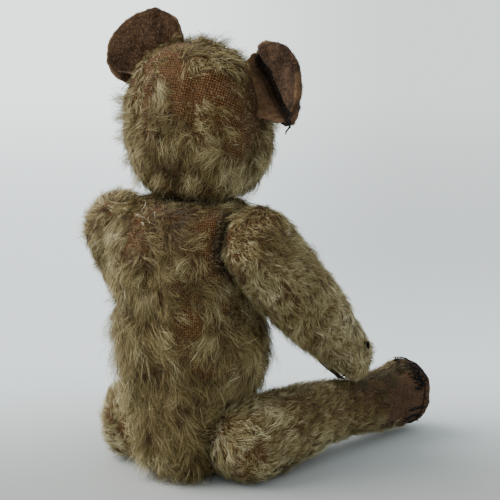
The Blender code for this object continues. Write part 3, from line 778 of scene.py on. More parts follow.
def velveteen_material(name, light, dark, worn, shade_colour):
    """Short-napped cotton: speckled, worn to its threads along the rim, with painted light on an eased foot and
    painted shade in its folds and grooves.
    """
    made, tree, shader = new_material(name, 0.95, specular=0.1, sheen=0.05)
    place = object_place(tree)
    soil = use_group(tree, SOILING, {"Place": place, "Blotch size": 0.8})
    speckle = noise(tree, place, 1100.0, 2.0, 0.6)
    ribs = noise(tree, place, 520.0, 3.0, 0.65)
    colour = mix(tree, soil["Blotches"], light, dark)
    ribbed = spread_out(tree, ribs, 0.38, 0.62)
    colour = mix(tree, maths(tree, "MULTIPLY", ribbed, 0.7), colour, dark)
    flecked = spread_out(tree, speckle, 0.52, 0.66)
    colour = mix(tree, maths(tree, "MULTIPLY", flecked, 0.4), colour, worn)
    # The rim's real wear, and painted light on an eased foot where the head shades it, both toward the paler
    # colour
    rim = painted(tree, "WornAndLit")
    frayed = maths(tree, "MULTIPLY", rim, ribbed)
    colour = mix(tree, maths(tree, "MULTIPLY", maths(tree, "ADD", frayed, rim), 0.45), colour, worn)
    # Painted shade in the gully, the fold at the foot, the puckers and the gathers, and a darker line along the
    # seam, toward near-black
    creased = maths(tree, "MULTIPLY", painted(tree, "ShadeAndSoil"), 0.95)
    colour = mix(tree, creased, colour, shade_colour)
    tree.links.new(colour, shader.inputs["Base Color"])
    bump(tree, shader, maths(tree, "ADD", ribs, maths(tree, "MULTIPLY", speckle, 0.6)), 0.7, 0.3)
    return made


def thread_material(name, light, dark):
    """Waxed thread or floss, with a fine twist and a little lint."""
    made, tree, shader = new_material(name, 0.8, specular=0.15)
    place = object_place(tree)
    lint = spread_out(tree, noise(tree, place, 900.0, 3.0, 0.6), 0.4, 0.7)
    tree.links.new(mix(tree, lint, dark, light), shader.inputs["Base Color"])
    bump(tree, shader, noise(tree, place, 2200.0, 2.0, 0.5), 0.6, 0.15)
    return made


def button_material():
    """A black boot button: glossy moulded composition, dulled by fine scratches and dust."""
    made, tree, shader = new_material("Boot button", 0.2, specular=0.16)
    shader.inputs["Coat Weight"].default_value = 0.08
    shader.inputs["Coat Roughness"].default_value = 0.15
    place = object_place(tree)
    soil = use_group(tree, SOILING, {"Place": place, "Blotch size": 0.25})
    dusty = maths(tree, "MULTIPLY", soil["Speckle"], 0.25)
    colour = mix(tree, dusty, linear(9, 7, 6), linear(52, 46, 40))
    tree.links.new(colour, shader.inputs["Base Color"])
    dulled = spread_out(tree, soil["Blotches"], to_low=0.12, to_high=0.34)
    tree.links.new(dulled, shader.inputs["Roughness"])
    scratches = node(
        tree,
        "ShaderNodeTexNoise",
        {"Vector": place, "Scale": 1800.0, "Detail": 1.0, "Distortion": 2.0},
    ).outputs["Fac"]
    bump(tree, shader, scratches, 0.12, 0.08)
    return made


def wood_wool_material():
    """Packed wood shavings: long pale curls over darker gaps."""
    made, tree, shader = new_material("Wood wool", 0.8, specular=0.2)
    place = object_place(tree)
    curls = node(
        tree,
        "ShaderNodeTexWave",
        {"Vector": place, "Scale": 160.0, "Distortion": 14.0, "Detail": 3.0, "Detail Scale": 1.5},
    ).outputs["Fac"]
    soil = use_group(tree, SOILING, {"Place": place, "Blotch size": 0.4})
    tones = (0.15, linear(92, 66, 36)), (0.5, linear(176, 140, 86)), (0.85, linear(214, 184, 128))
    colour = ramp(tree, curls, *tones)
    colour = mix(tree, maths(tree, "MULTIPLY", soil["Blotches"], 0.4), colour, linear(120, 88, 50))
    tree.links.new(colour, shader.inputs["Base Color"])
    bump(tree, shader, curls, 0.8, 0.8)
    return made


def hardboard_material():
    """Pressed fibre board: brown, flecked, and rubbed at its edge."""
    made, tree, shader = new_material("Hardboard", 0.75, specular=0.25)
    place = object_place(tree)
    fibres = noise(tree, place, 700.0, 5.0, 0.7)
    soil = use_group(tree, SOILING, {"Place": place, "Blotch size": 0.5})
    colour = ramp(tree, fibres, (0.35, linear(70, 46, 28)), (0.65, linear(140, 104, 68)))
    colour = mix(tree, maths(tree, "MULTIPLY", soil["Speckle"], 0.4), colour, linear(46, 30, 20))
    tree.links.new(colour, shader.inputs["Base Color"])
    bump(tree, shader, fibres, 0.4, 0.15)
    return made


def steel_material():
    """Plain steel, gone brown with rust in patches."""
    made, tree, shader = new_material("Rusting steel", 0.45, specular=0.5)
    place = object_place(tree)
    soil = use_group(tree, SOILING, {"Place": place, "Blotch size": 0.3})
    rust = maths(tree, "MULTIPLY", soil["Blotches"], 0.8)
    colour = mix(tree, rust, linear(142, 138, 132), linear(96, 52, 28))
    tree.links.new(colour, shader.inputs["Base Color"])
    tree.links.new(maths(tree, "SUBTRACT", 1.0, rust), shader.inputs["Metallic"])
    rough = spread_out(tree, rust, to_low=0.32, to_high=0.9)
    tree.links.new(rough, shader.inputs["Roughness"])
    bump(tree, shader, soil["Speckle"], 0.3, 0.1)
    return made


BACKING = cloth_material(
    "Mohair backing", linear(134, 89, 50), linear(24, 14, 6), linear(88, 60, 34)
)
PAD_CLOTH = cloth_material("Pad cloth", linear(128, 90, 60), linear(24, 15, 9), linear(70, 48, 32))
PILE = pile_material(
    "Mohair pile",
    [(0.0, linear(30, 19, 8)), (0.5, linear(72, 50, 24)), (1.0, linear(112, 88, 48))],
    [
        (0.0, linear(56, 42, 18)),
        (0.25, linear(94, 76, 38)),
        (0.5, linear(137, 120, 76)),
        (0.75, linear(180, 167, 124)),
        (1.0, linear(220, 211, 176)),
    ],
)
# The ears' velveteen: its third colour is the worn rim's and the painted light on an eased foot, its last the
# painted shade
EAR_CLOTH = velveteen_material(
    "Ear velveteen", linear(77, 54, 36), linear(31, 19, 11), linear(122, 92, 66), linear(9, 6, 4)
)
EAR_NAP = pile_material(
    "Ear nap",
    [(0.0, linear(26, 16, 9)), (1.0, linear(60, 42, 26))],
    [(0.0, linear(40, 26, 15)), (0.6, linear(98, 72, 46)), (1.0, linear(176, 152, 122))],
)
BLACK_THREAD = thread_material("Black thread", linear(27, 22, 20), linear(8, 7, 6))
BROWN_THREAD = thread_material("Brown thread", linear(88, 62, 42), linear(40, 26, 18))
BLACK_FLOSS = thread_material("Black floss", linear(52, 46, 44), linear(16, 13, 13))
PALE_THREAD = thread_material("Pale thread", linear(196, 186, 164), linear(128, 116, 92))
BUTTON = button_material()


# ---------------------------------------------------------------- the skins


# The outer surface of a cover ends at edges that are sharper than this
COVER_EDGE = math.radians(72)
# Corners of the shell that are this near to each other, in metres, are the same corner
WELD = 1e-6


def outside_of(cover):
    """The outer surface of a hollow cover, closed over its pin holes."""
    shape = editable(frame["nodes"][cover].data)
    bmesh.ops.remove_doubles(shape, verts=shape.verts, dist=WELD)
    middle = sum((vertex.co for vertex in shape.verts), Vector()) / len(shape.verts)
    first = max(shape.faces, key=lambda face: (face.calc_center_median() - middle).length)
    outer = {first}
    growing = [first]
    while growing:
        face = growing.pop()
        for edge in face.edges:
            for beside in edge.link_faces:
                if beside not in outer and beside.normal.angle(face.normal, 0.0) < COVER_EDGE:
                    outer.add(beside)
                    growing.append(beside)
    rest = [face for face in shape.faces if face not in outer]
    bmesh.ops.delete(shape, geom=rest, context="FACES")
    bmesh.ops.holes_fill(shape, edges=[edge for edge in shape.edges if edge.is_boundary], sides=0)
    bmesh.ops.recalc_face_normals(shape, faces=shape.faces)
    return edited(cover, shape)


def own_directions(body):
    """A body's middle, and its own directions: along it, out of its top, and outward."""
    points = points_of(frame["nodes"][f"{body}_cover"].data)
    middle = (points.min(0) + points.max(0)) / 2
    if body == "torso":
        return middle, np.array([(0.0, 0.0, -1.0), (0.0, 1.0, 0.0), (1.0, 0.0, 0.0)])
    if body == "head":
        return middle, np.array([(0.0, 1.0, 0.0), (0.0, 0.0, 1.0), (1.0, 0.0, 0.0)])
    side, limb = body.split("_")
    joint = joints[f"{side}_{'shoulder' if limb == 'arm' else 'hip'}"]
    out = unit(joint["axis"])
    out *= math.copysign(1.0, out[0]) * (1 if side == "left" else -1)
    middle = points.mean(0)
    _, _, directions = np.linalg.svd(points - middle, full_matrices=False)
    along = unit(directions[0] - out * (directions[0] @ out))
    along *= math.copysign(1.0, (middle - np.array(joint["pos_m"]) / MM) @ along)
    lift = np.cross(out, along)
    lift *= math.copysign(1.0, lift[2])
    return middle, np.array([along, lift, out])


def seam_lines(body, points):
    """Which points lie on a seam: the torso's four, the head's gusset, and a limb's two edges."""
    middle, (_, lift, out) = own_directions(body)
    away = points - middle
    if body == "torso":
        return (np.abs(away @ out) < SEAM_HALF_WIDTH) | (np.abs(away @ lift) < SEAM_HALF_WIDTH)
    if body == "head":
        gusset = np.abs(np.abs(away @ out) - GUSSET_HALF_WIDTH) < SEAM_HALF_WIDTH
        chin = np.abs(away @ out) < SEAM_HALF_WIDTH
        return (gusset & (away @ lift > 0)) | (chin & (away @ lift < 0))
    return np.abs(away @ out) < SEAM_HALF_WIDTH


def near_joints(points, gap, reach):
    """Which points lie within that gap of a joint's plane, and within that reach of its pin."""
    found = np.zeros(len(points), bool)
    for joint in joints.values():
        depth, beside = from_joint(joint, points)
        found |= (np.abs(depth) < gap) & (beside < reach)
    return found


def from_joint(joint, points):
    """How far points lie from a joint's plane, and from its axis."""
    at = np.array(joint["pos_m"]) / MM
    axis = unit(joint["axis"])
    depth = (points - at) @ axis
    return depth, np.linalg.norm(points - at - depth[:, None] * axis, axis=1)


def rubbed(points):
    """How much each point is rubbed by the limb beside it, from 0 to 1; the skins' painted shade in the gaps by
    the joints follows it too.
    """
    most = np.zeros(len(points))
    for name, joint in joints.items():
        depth, beside = from_joint(joint, points)
        reach = RUBBED_REACH[name.split("_")[-1]]
        by_gap = 1.0 - smoothstep(RUBBED_GAP * 0.4, RUBBED_GAP, np.abs(depth))
        by_reach = 1.0 - smoothstep(reach - RUBBED_EDGE, reach, beside)
        most = np.maximum(most, by_gap * by_reach)
    return most


def sewn_on(body, kinds):
    """The names of what is sewn on a body, of those kinds."""
    return [name for name in frame["record"]["behaviour"]["bodies"][body] if name.endswith(kinds)]


def near_box(name, points, margin):
    """Which points lie within a piece's box, or no farther from it than the margin."""
    low, high = box_of(name)
    return ((points > low - margin) & (points < high + margin)).all(1)


def pressed_places(body, points):
    """Which points must stay put: on a joint's plane, on the seat, or under what is sewn on."""
    held = (points[:, 2] < SEAT_HEIGHT) | near_joints(points, *PRESSED_BY_JOINT)
    for name in sewn_on(body, ("_pad", "_ear", "_eye", "_stitching")):
        held |= near_box(name, points, PRESSED_MARGIN)
    return held


def swollen(shape, held):
    """Cloth that packed stuffing has pushed out, wherever it isn't held."""
    carrier = placed("swelling", shape)
    start = points_of(shape)
    kept = carrier.vertex_groups.new(name="held")
    kept.add([int(index) for index in np.flatnonzero(held)], 1.0, "REPLACE")
    cloth = carrier.modifiers.new("Cloth", "CLOTH")
    cloth.settings.quality = 6
    cloth.settings.mass = 0.2
    cloth.settings.tension_stiffness = 30.0
    cloth.settings.compression_stiffness = 30.0
    cloth.settings.shear_stiffness = 12.0
    cloth.settings.bending_stiffness = 1.5
    cloth.settings.use_pressure = True
    cloth.settings.uniform_pressure_force = STUFFING_PRESSURE
    cloth.settings.vertex_group_mass = kept.name
    cloth.settings.effector_weights.gravity = 0.0
    cloth.collision_settings.use_collision = False
    cloth.collision_settings.use_self_collision = False
    cloth.point_cache.frame_start = 1
    cloth.point_cache.frame_end = SWELL_FRAMES
    scene = bpy.context.scene
    for step in range(1, SWELL_FRAMES + 1):
        scene.frame_set(step)
    made = applied(carrier)
    scene.frame_set(1)
    bpy.data.objects.remove(carrier)
    moved = points_of(made) - start
    length = np.linalg.norm(moved, axis=1, keepdims=True)
    moved *= np.minimum(1.0, SWELL_LIMIT / np.maximum(length, 1e-9))
    put_points(made, start + moved)
    return made


def map_cloth(shape, body):
    """The cloth's own map in millimetres: round the body, and along it."""
    middle, (along, lift, out) = own_directions(body)
    if body == "head":
        along, lift = unit(HEAD_GRAIN), unit(np.cross(HEAD_GRAIN, out))
    away = points_of(shape) - middle
    angle = np.arctan2(away @ out, away @ lift)
    radius = np.hypot(away @ out, away @ lift)
    typical = float(np.median(radius))
    height = away @ along
    if body == "head":
        height = typical * np.arctan2(height, radius)
    corners = corners_of(shape)
    starts = np.empty(len(shape.polygons), np.int32)
    shape.polygons.foreach_get("loop_start", starts)
    first = np.repeat(angle[corners[starts]], np.diff(np.append(starts, len(corners))))
    turned = angle[corners]
    turned = turned + math.tau * np.round((first - turned) / math.tau)
    add_map(shape, "Cloth", np.stack([turned * typical, height[corners]], 1))


def build_skin(body):
    """A cloth skin over one stuffed body."""
    outer = outside_of(f"{body}_cover")
    stuffing = frame["nodes"][f"{body}_stuffing"].data
    shape = remeshed(outer, SKIN_VOXEL, SKIN_SMOOTHING)
    points = points_of(shape)
    normals = normals_of(shape)
    pressed = pressed_places(body, points)
    seams = seam_lines(body, points) & ~pressed
    inward = np.where(pressed, 0.0, np.where(seams, SEAM_DEPTH + SWELL_START, SWELL_START))
    put_points(shape, points - normals * inward[:, None])
    shape = swollen(shape, pressed | seams)
    shape = modified(shape, ("SUBSURF", {"levels": 1}))
    points = points_of(shape)
    pressed = pressed_places(body, points)
    lumps = drift(len(body), SKIN_LUMP_SIZE)(points) * SKIN_LUMP_HEIGHT
    depth = SKIN_DEPTH + np.where(seam_lines(body, points), SEAM_DEPTH, 0.0)
    depth -= np.where(pressed, 0.0, lumps)
    points = pushed_out(points, tree_of(outer), -depth)
    points = pushed_out(points, tree_of(stuffing), STUFFING_CLEARANCE)
    points[:, 2] = np.maximum(points[:, 2], FLOOR_CLEARANCE)
    put_points(shape, points)
    shape.shade_smooth()
    map_cloth(shape, body)
    # Painted shade in the gaps at the joints' planes, with the dirt that gathers there
    paint(shape, "ShadeAndSoil", 0.8 * rubbed(points))
    skin = add_piece(f"{body}_skin", shape, BACKING, body)
    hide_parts(f"{body}_cover")
    return shape


# ---------------------------------------------------------------- the pile


# Each body's pile: how long it is, how far it lifts off the skin, and how pale it is
COATS = {
    "torso": {"length": 11.5, "lift": 0.7, "tone": 0.45},
    "head": {"length": 8.0, "lift": 0.85, "tone": 0.44},
    "right_arm": {"length": 6.0, "lift": 0.8, "tone": 0.58},
    "left_arm": {"length": 6.5, "lift": 0.8, "tone": 0.58},
    "right_leg": {"length": 6.0, "lift": 0.8, "tone": 0.66},
    "left_leg": {"length": 6.5, "lift": 0.8, "tone": 0.7},
}
# Its two layers, whose lengths and lifts are shares of the body's, and whose tones are added to it
LAYERS = {
    "under": {"per_mm2": 2.5, "length": 0.55, "lift": 0.6, "width": 0.19, "steps": 1, "tone": -0.08},
    "locks": {"per_mm2": 1.3, "length": 1.0, "lift": 0.34, "width": 0.15, "steps": 3, "tone": 0.04},
}
# How far apart the locks of the pile stand, and the twists of strands within a lock
LOCK_SPACING = 4.6
TWIST_SPACING = 1.7

# How strands differ from lock to lock, from twist to twist, and from each other: where they point,
# their length, their lift, their waves, where in a wave they start, and their tone
LOCK_STRAY, TWIST_STRAY, STRAND_STRAY = 0.26, 0.25, 0.2
LOCK_LENGTHS, TWIST_LENGTHS, STRAND_LENGTHS = (0.75, 1.25), (0.85, 1.15), (0.75, 1.1)
LOCK_LIFTS, TWIST_LIFTS = (0.6, 1.4), (0.75, 1.25)
LOCK_WAVE, TWIST_WAVE, STRAND_WAVE = 0.2, 0.08, 0.03
TWIST_PHASES, STRAND_PHASE = (-1.0, 1.0), 0.4
LOCK_TONE, TWIST_TONE, STRAND_TONE = 0.09, 0.06, 0.13
STRAND_WIDTHS = (0.65, 1.35)
# How fast a lock waves, how far it is drawn toward its middle, and a twist toward its own
CURL_RATES = (3.5, 7.0)
LOCK_PULLS = (0.05, 0.35)
TWIST_PULLS = (0.25, 0.7)
# How far strands are rolled about their own length, and the tone's width across one
ROLL = 0.7
TONE_SPREAD = 0.012

# How far a guide in FLOWS reaches, and how much a body's own direction counts beside the guides
GUIDE_REACH = 11.0
OWN_SHARE = 0.12
HEAD_FLOW = (0.0, 0.7, -0.75)

# Where no pile grows: below this height, within this gap and this reach of a joint, and this near
# to what is sewn on and to an ear
BARE_HEIGHT = 0.6
BARE_BY_JOINT = (1.0, 15.0)
SEWN_MARGIN = 1.8
EAR_MARGIN = 2.6

# Tufts: their points along a strand, how they differ, how far they stand up, and their widths
TUFT_STEPS = 5
TUFT_STRAY = 0.22
TUFT_LENGTHS = (0.5, 1.15)
TUFT_TONE = 0.18
TUFT_SWAY = 0.1
TUFT_RISE = 0.22
TUFT_WIDTHS = (0.08, 0.16)

# Short hairs: the stubble of the worn pile, the ears' nap, and the frays of turned cloth
STUBBLE = {"per_mm2": 1.8, "length": 2.0, "width": 0.13, "tone": 0.64}
NAP = {"per_mm2": 4.0, "length": 0.8, "width": 0.16, "tone": 0.45}
FRAYS = {"per_mm2": 2.5, "length": 1.3, "width": 0.17, "tone": 0.55}
HAIR_LENGTHS = (0.5, 1.3)
HAIR_WIDTHS = (0.7, 1.3)
HAIR_STRAY = 0.55
HAIR_TONE = 0.14

# The ears' surfaces, which the head's pile leaves clear
laid_over_head = []


def bareness(body, points):
    """How worn the pile is at each point, from 0 to 1."""
    bare = smoothstep(0.6, 1.2, drift(31, 12.0)(points) + 0.45 * drift(32, 4.0)(points))
    bare *= PATCHINESS.get(body, LIMB_PATCHINESS)
    ragged = 1.0 + 0.35 * drift(33, 3.0)(points)
    for middle, radius, amount in WORN_SPOTS.get(body, ()):
        apart = np.linalg.norm(points - np.array(middle), axis=1) / (radius * ragged)
        bare = np.maximum(bare, amount * (1.0 - smoothstep(0.6, 1.2, apart)))
    return np.maximum(bare, 0.65 * rubbed(points))


def within(tree, points, reach):
    """Which points lie within that reach of a surface."""
    found = [tree.find_nearest(Vector(point) * MM, reach * MM)[0] for point in points]
    return np.array([place is not None for place in found], bool)


def covered(body, points):
    """Where no pile grows: on a joint's plane, on the seat, and under what is sewn on."""
    hidden = (points[:, 2] < BARE_HEIGHT) | near_joints(points, *BARE_BY_JOINT)
    for tree in laid_over_head if body == "head" else ():
        hidden |= within(tree, points, EAR_MARGIN)
    for limb in TURNED_OVER:
        if body == body_of(limb):
            behind, edge = turned_over(limb, pad_directions(f"{limb}_pad", body), points)
            hidden |= behind < edge
    for name in sewn_on(body, ("_pad", "_eye", "_stitching")):
        beside = near_box(name, points, SEWN_MARGIN)
        hidden[beside] |= within(tree_of(frame["nodes"][name].data), points[beside], SEWN_MARGIN)
    return hidden


def scattered(shape, per_mm2, rng):
    """Roots spread over a skin, with its normals there."""
    shape.calc_loop_triangles()
    faces = np.empty(len(shape.loop_triangles) * 3, np.int32)
    shape.loop_triangles.foreach_get("vertices", faces)
    faces = faces.reshape(-1, 3)
    points = points_of(shape)
    normals = normals_of(shape)
    corners = points[faces]
    crossed = np.cross(corners[:, 1] - corners[:, 0], corners[:, 2] - corners[:, 0])
    area = np.linalg.norm(crossed, axis=1) / 2
    count = int(per_mm2 * area.sum())
    pick = rng.choice(len(faces), count, p=area / area.sum())
    spot = rng.random((count, 2))
    spot[spot.sum(1) > 1] = 1 - spot[spot.sum(1) > 1]
    weight = np.column_stack([1 - spot.sum(1), spot])[:, :, None]
    return (corners[pick] * weight).sum(1), unit((normals[faces[pick]] * weight).sum(1))


def nearest(centres, points):
    """The index of the centre nearest to each point."""
    tree = KDTree(len(centres))
    for index, centre in enumerate(centres):
        tree.insert(centre, index)
    tree.balance()
    return np.array([tree.find(point)[1] for point in points])


def combed(body, points, normals):
    """The way that the pile lies along the skin, and how long it is, from the guides near by."""
    _, directions = own_directions(body)
    along = np.tile(HEAD_FLOW if body == "head" else directions[0], (len(points), 1)) * OWN_SHARE
    weight = np.full(len(points), OWN_SHARE)
    length, stand = weight.copy(), weight.copy()
    for place, direction, size, upright in FLOWS.get(body, ()):
        near = np.exp(-((points - np.array(place)) ** 2).sum(1) / (2 * GUIDE_REACH**2))
        along += near[:, None] * np.array(direction)
        length += near * size
        stand += near * upright
        weight += near
    spread = np.clip(-normals[:, 2] - 0.15, 0.0, 1.0) * smoothstep(26.0, 6.0, points[:, 2])
    outward = normals * (1.0, 1.0, 0.0)
    along = unit(along) * (1.0 - spread)[:, None] + outward * (2.0 * spread)[:, None]
    lying = unit(along - normals * (along * normals).sum(1)[:, None])
    across = np.cross(normals, lying)
    turn = 0.75 * drift(41, 13.0)(points) + 0.55 * drift(42, 5.0)(points)
    turned = lying * np.cos(turn)[:, None] + across * np.sin(turn)[:, None]
    return turned, length / weight, stand / weight


def tinted(body, points):
    """How much paler or darker the pile is at each point, with dirt and painted shade among the darker places."""
    shift = 0.08 * drift(51, 15.0)(points) + 0.04 * drift(52, 5.0)(points)
    for place, radius, amount in TINTED.get(body, ()):
        shift += amount * np.exp(-((points - np.array(place)) ** 2).sum(1) / radius**2)
    return shift


def grow(body, layer, skin):
    """One layer of pile on one body: fine strands, twisted together and gathered in wavy locks."""
    coat, kind = COATS[body], LAYERS[layer]
    rng = np.random.default_rng([len(body), len(layer), 7])
    roots, up = scattered(skin, kind["per_mm2"], rng)
    worn = bareness(body, roots)
    kept = (rng.random(len(roots)) > worn * 1.1) & ~covered(body, roots)
    roots, up, worn = roots[kept], up[kept], worn[kept]
    count = len(roots)
    lock_count = max(1, int(count / kind["per_mm2"] / LOCK_SPACING**2))
    twist_count = max(1, int(count / kind["per_mm2"] / TWIST_SPACING**2))
    chosen = rng.choice(count, lock_count, replace=False)
    gathered = rng.choice(count, twist_count, replace=False)
    twist = nearest(roots[gathered], roots)
    lock = nearest(roots[chosen], roots[gathered])[twist]

    def by_lock(low, high):
        return rng.uniform(low, high, lock_count)[lock]

    def by_twist(low, high):
        return rng.uniform(low, high, twist_count)[twist]

    flow, size, stand = combed(body, roots[chosen], up[chosen])
    stray = rng.normal(0.0, LOCK_STRAY, lock_count)[:, None]
    flow = flow * np.cos(stray) + np.cross(up[chosen], flow) * np.sin(stray)
    own = rng.normal(0.0, TWIST_STRAY, twist_count)[twist] + rng.normal(0.0, STRAND_STRAY, count)
    along = flow[lock] + np.cross(up, flow[lock]) * own[:, None]
    along = unit(along - up * (along * up).sum(1)[:, None])
    length = coat["length"] * kind["length"] * size[lock] * rng.uniform(*STRAND_LENGTHS, count)
    length *= by_lock(*LOCK_LENGTHS) * by_twist(*TWIST_LENGTHS) * (1.0 - 0.6 * worn)
    lift = coat["lift"] * kind["lift"] * stand[lock] * by_lock(*LOCK_LIFTS) * by_twist(*TWIST_LIFTS)
    wave = by_lock(-1.0, 1.0) * LOCK_WAVE + by_twist(-1.0, 1.0) * TWIST_WAVE
    wave += rng.normal(0.0, STRAND_WAVE, count)
    phase = by_lock(0.0, math.tau) + by_twist(*TWIST_PHASES) + rng.normal(0.0, STRAND_PHASE, count)
    curl_rate = by_lock(*CURL_RATES)
    pull = by_lock(*LOCK_PULLS)
    wrap = by_twist(*TWIST_PULLS) * (1.0 - pull)
    gathers = (roots[chosen][lock], pull, 1.6), (roots[gathered][twist], wrap, 0.8)
    waves = wave, phase, curl_rate
    places = wavy_lines(kind["steps"], roots, (along, up), (length, lift), waves, gathers)
    places[:, 1:, 2] = np.maximum(places[:, 1:, 2], 0.15 + 0.5 * rng.random((count, 1)))
    width = kind["width"] * rng.uniform(*STRAND_WIDTHS, count)
    strands = blades(places, up, width, rng.normal(0.0, ROLL, count))
    tone = coat["tone"] + kind["tone"] + tinted(body, roots)
    tone += rng.normal(0.0, LOCK_TONE, lock_count)[lock] + rng.normal(0.0, TWIST_TONE, twist_count)[twist]
    tone += rng.normal(0.0, STRAND_TONE, count)
    add_pile(f"{body}_{layer}", body, PILE, strands, tone)


def wavy_lines(steps, roots, directions, extent, waves, gathers):
    """Strands' lines, which lift off the skin, wave, and are drawn toward each of the gathers."""
    along, up = directions
    length, lift = extent
    wave, phase, curl_rate = waves
    across = np.cross(up, along)
    places = []
    for step in range(steps + 1):
        t = step / steps
        bend = phase + curl_rate * t
        place = roots + along * (length * t**1.1)[:, None]
        place += up * (length * lift * math.sin(math.pi * 0.6 * t))[:, None]
        place += across * (length * wave * (np.sin(bend) - np.sin(phase)))[:, None]
        place += up * (length * np.abs(wave) * 0.5 * (np.cos(bend) - np.cos(phase)))[:, None]
        for middle, pull, lateness in gathers:
            place += (middle - roots) * (pull * t**lateness)[:, None]
        places.append(place)
    return np.stack(places, 1)


def add_pile(name, body, finish, strands, tone):
    """A piece of loose strands, each with its own tone in the map that its colours come from."""
    points, faces, shares = strands
    per = len(points) // len(tone)
    side = np.tile(np.append(np.tile((-1.0, 1.0), per // 2), 0.0), len(tone))
    uv = np.empty((len(points), 2))
    uv[:, 0] = np.repeat(np.clip(tone, 0.03, 0.97), per) + side * TONE_SPREAD
    uv[:, 1] = 0.02 + 0.96 * shares
    piece = add_piece(name, triangles_mesh(name, points, faces, uv), finish, body)


def blades(places, up, width, roll):
    """Flat tapered strands along lines of points, as vertices, triangles, and shares of length."""
    count, levels, _ = places.shape
    steps = levels - 1
    tangent = np.empty_like(places)
    tangent[:, :-1] = places[:, 1:] - places[:, :-1]
    tangent[:, -1] = tangent[:, -2]
    tangent = unit(tangent)
    flat = unit(np.cross(tangent, up[:, None, :]))
    edge = np.cross(flat, tangent)
    flat = flat * np.cos(roll)[:, None, None] + edge * np.sin(roll)[:, None, None]
    shares = np.linspace(0.0, 1.0, levels)
    taper = (1.0 - 0.7 * shares**1.5) * width[:, None]
    points = np.empty((count, 2 * steps + 1, 3))
    for level in range(steps):
        half = flat[:, level] * taper[:, level, None] / 2
        points[:, 2 * level] = places[:, level] - half
        points[:, 2 * level + 1] = places[:, level] + half
    points[:, -1] = places[:, -1]
    pattern = []
    for level in range(steps - 1):
        a = 2 * level
        pattern += [(a, a + 1, a + 3), (a, a + 3, a + 2)]
    pattern.append((2 * steps - 2, 2 * steps - 1, 2 * steps))
    pattern = np.array(pattern)
    faces = (np.arange(count)[:, None, None] * (2 * steps + 1) + pattern).reshape(-1, 3)
    along = np.repeat(np.append(np.repeat(shares[:-1], 2), 1.0)[None], count, 0).ravel()
    return points.reshape(-1, 3), faces, along


def grow_tufts(skins):
    """Tufts that stand out from the rest of the pile, each drawn together at its tip."""
    for body in STUFFED:
        rng = np.random.default_rng([len(body), 19])
        tree = tree_of(skins[body])
        roots, up, ends, tone = [], [], [], []
        for middle, radius, direction, length, count, paleness in TUFTS.get(body, ()):
            for _ in range(count):
                root, normal = nearest_on(tree, np.array(middle) + rng.normal(0.0, radius / 2, 3))
                roots.append(root)
                up.append(normal)
                far = unit(np.array(direction) + rng.normal(0.0, TUFT_STRAY, 3)) * length
                far *= rng.uniform(*TUFT_LENGTHS)
                ends.append(far + (np.array(middle) - root) * rng.uniform(0.0, 0.5))
                tone.append(paleness - 0.06 + rng.normal(0.0, TUFT_TONE))
        if not roots:
            continue
        roots, up, ends = np.array(roots), np.array(up), np.array(ends)
        across = unit(np.cross(up, ends))
        size = np.linalg.norm(ends, axis=1)[:, None]
        sway = rng.normal(0.0, TUFT_SWAY, (len(roots), 1))
        places = []
        for step in range(TUFT_STEPS + 1):
            t = step / TUFT_STEPS
            place = roots + ends * t + up * size * TUFT_RISE * math.sin(math.pi * 0.8 * t)
            places.append(place + across * size * (sway + 0.05) * math.sin(5.0 * t))
        width = rng.uniform(*TUFT_WIDTHS, len(roots))
        roll = rng.normal(0.0, ROLL, len(roots))
        strands = blades(np.stack(places, 1), up, width, roll)
        add_pile(f"{body}_tufts", body, PILE, strands, np.array(tone))


def grow_hairs(name, body, shape, finish, kind, keep):
    """Short straight hairs over a surface: cropped pile, or the nap of a cloth."""
    rng = np.random.default_rng([len(name), 11])
    roots, up = scattered(shape, kind["per_mm2"], rng)
    chosen = rng.random(len(roots)) < keep(roots)
    roots, up = roots[chosen], up[chosen]
    lean = unit(up * 0.9 + rng.normal(0.0, HAIR_STRAY, up.shape))
    far = roots + lean * (kind["length"] * rng.uniform(*HAIR_LENGTHS, len(roots)))[:, None]
    far[:, 2] = np.maximum(far[:, 2], 2 * FLOOR_CLEARANCE)
    places = np.stack([roots, far], 1)
    width = kind["width"] * rng.uniform(*HAIR_WIDTHS, len(roots))
    strands = blades(places, up, width, rng.uniform(0.0, math.pi, len(roots)))
    tone = rng.normal(kind["tone"], HAIR_TONE, len(roots))
    add_pile(name, body, finish, strands, tone)


def grow_stubble(body, skin):
    """What is left of the pile where it is worn."""
    def keep(roots):
        return 0.1 + 0.8 * bareness(body, roots) - 2.0 * covered(body, roots)

    grow_hairs(f"{body}_stubble", body, skin, PILE, STUBBLE, keep)


# ---------------------------------------------------------------- the ears


EAR_VOXEL = 0.9
EAR_SMOOTHING = 9
# How wide the velveteen's worn rim is, and its seam: where it lies and how wide it is, as shares
# of the way out to the rim, and how deep it is
EAR_RIM = 1.6
EAR_SEAM_AT = 0.93
EAR_SEAM_WIDTH = 0.03
EAR_SEAM_DEPTH = 0.35
# How far the front's middle stands out, where the crease at the foot of the back lies and how wide
# it is, as shares of the ear's height, and how wide a pucker is
EAR_FRONT = 0.9
CREASE_AT = 0.1
CREASE_WIDTH = 0.07
PUCKER_WIDTH = 1.1
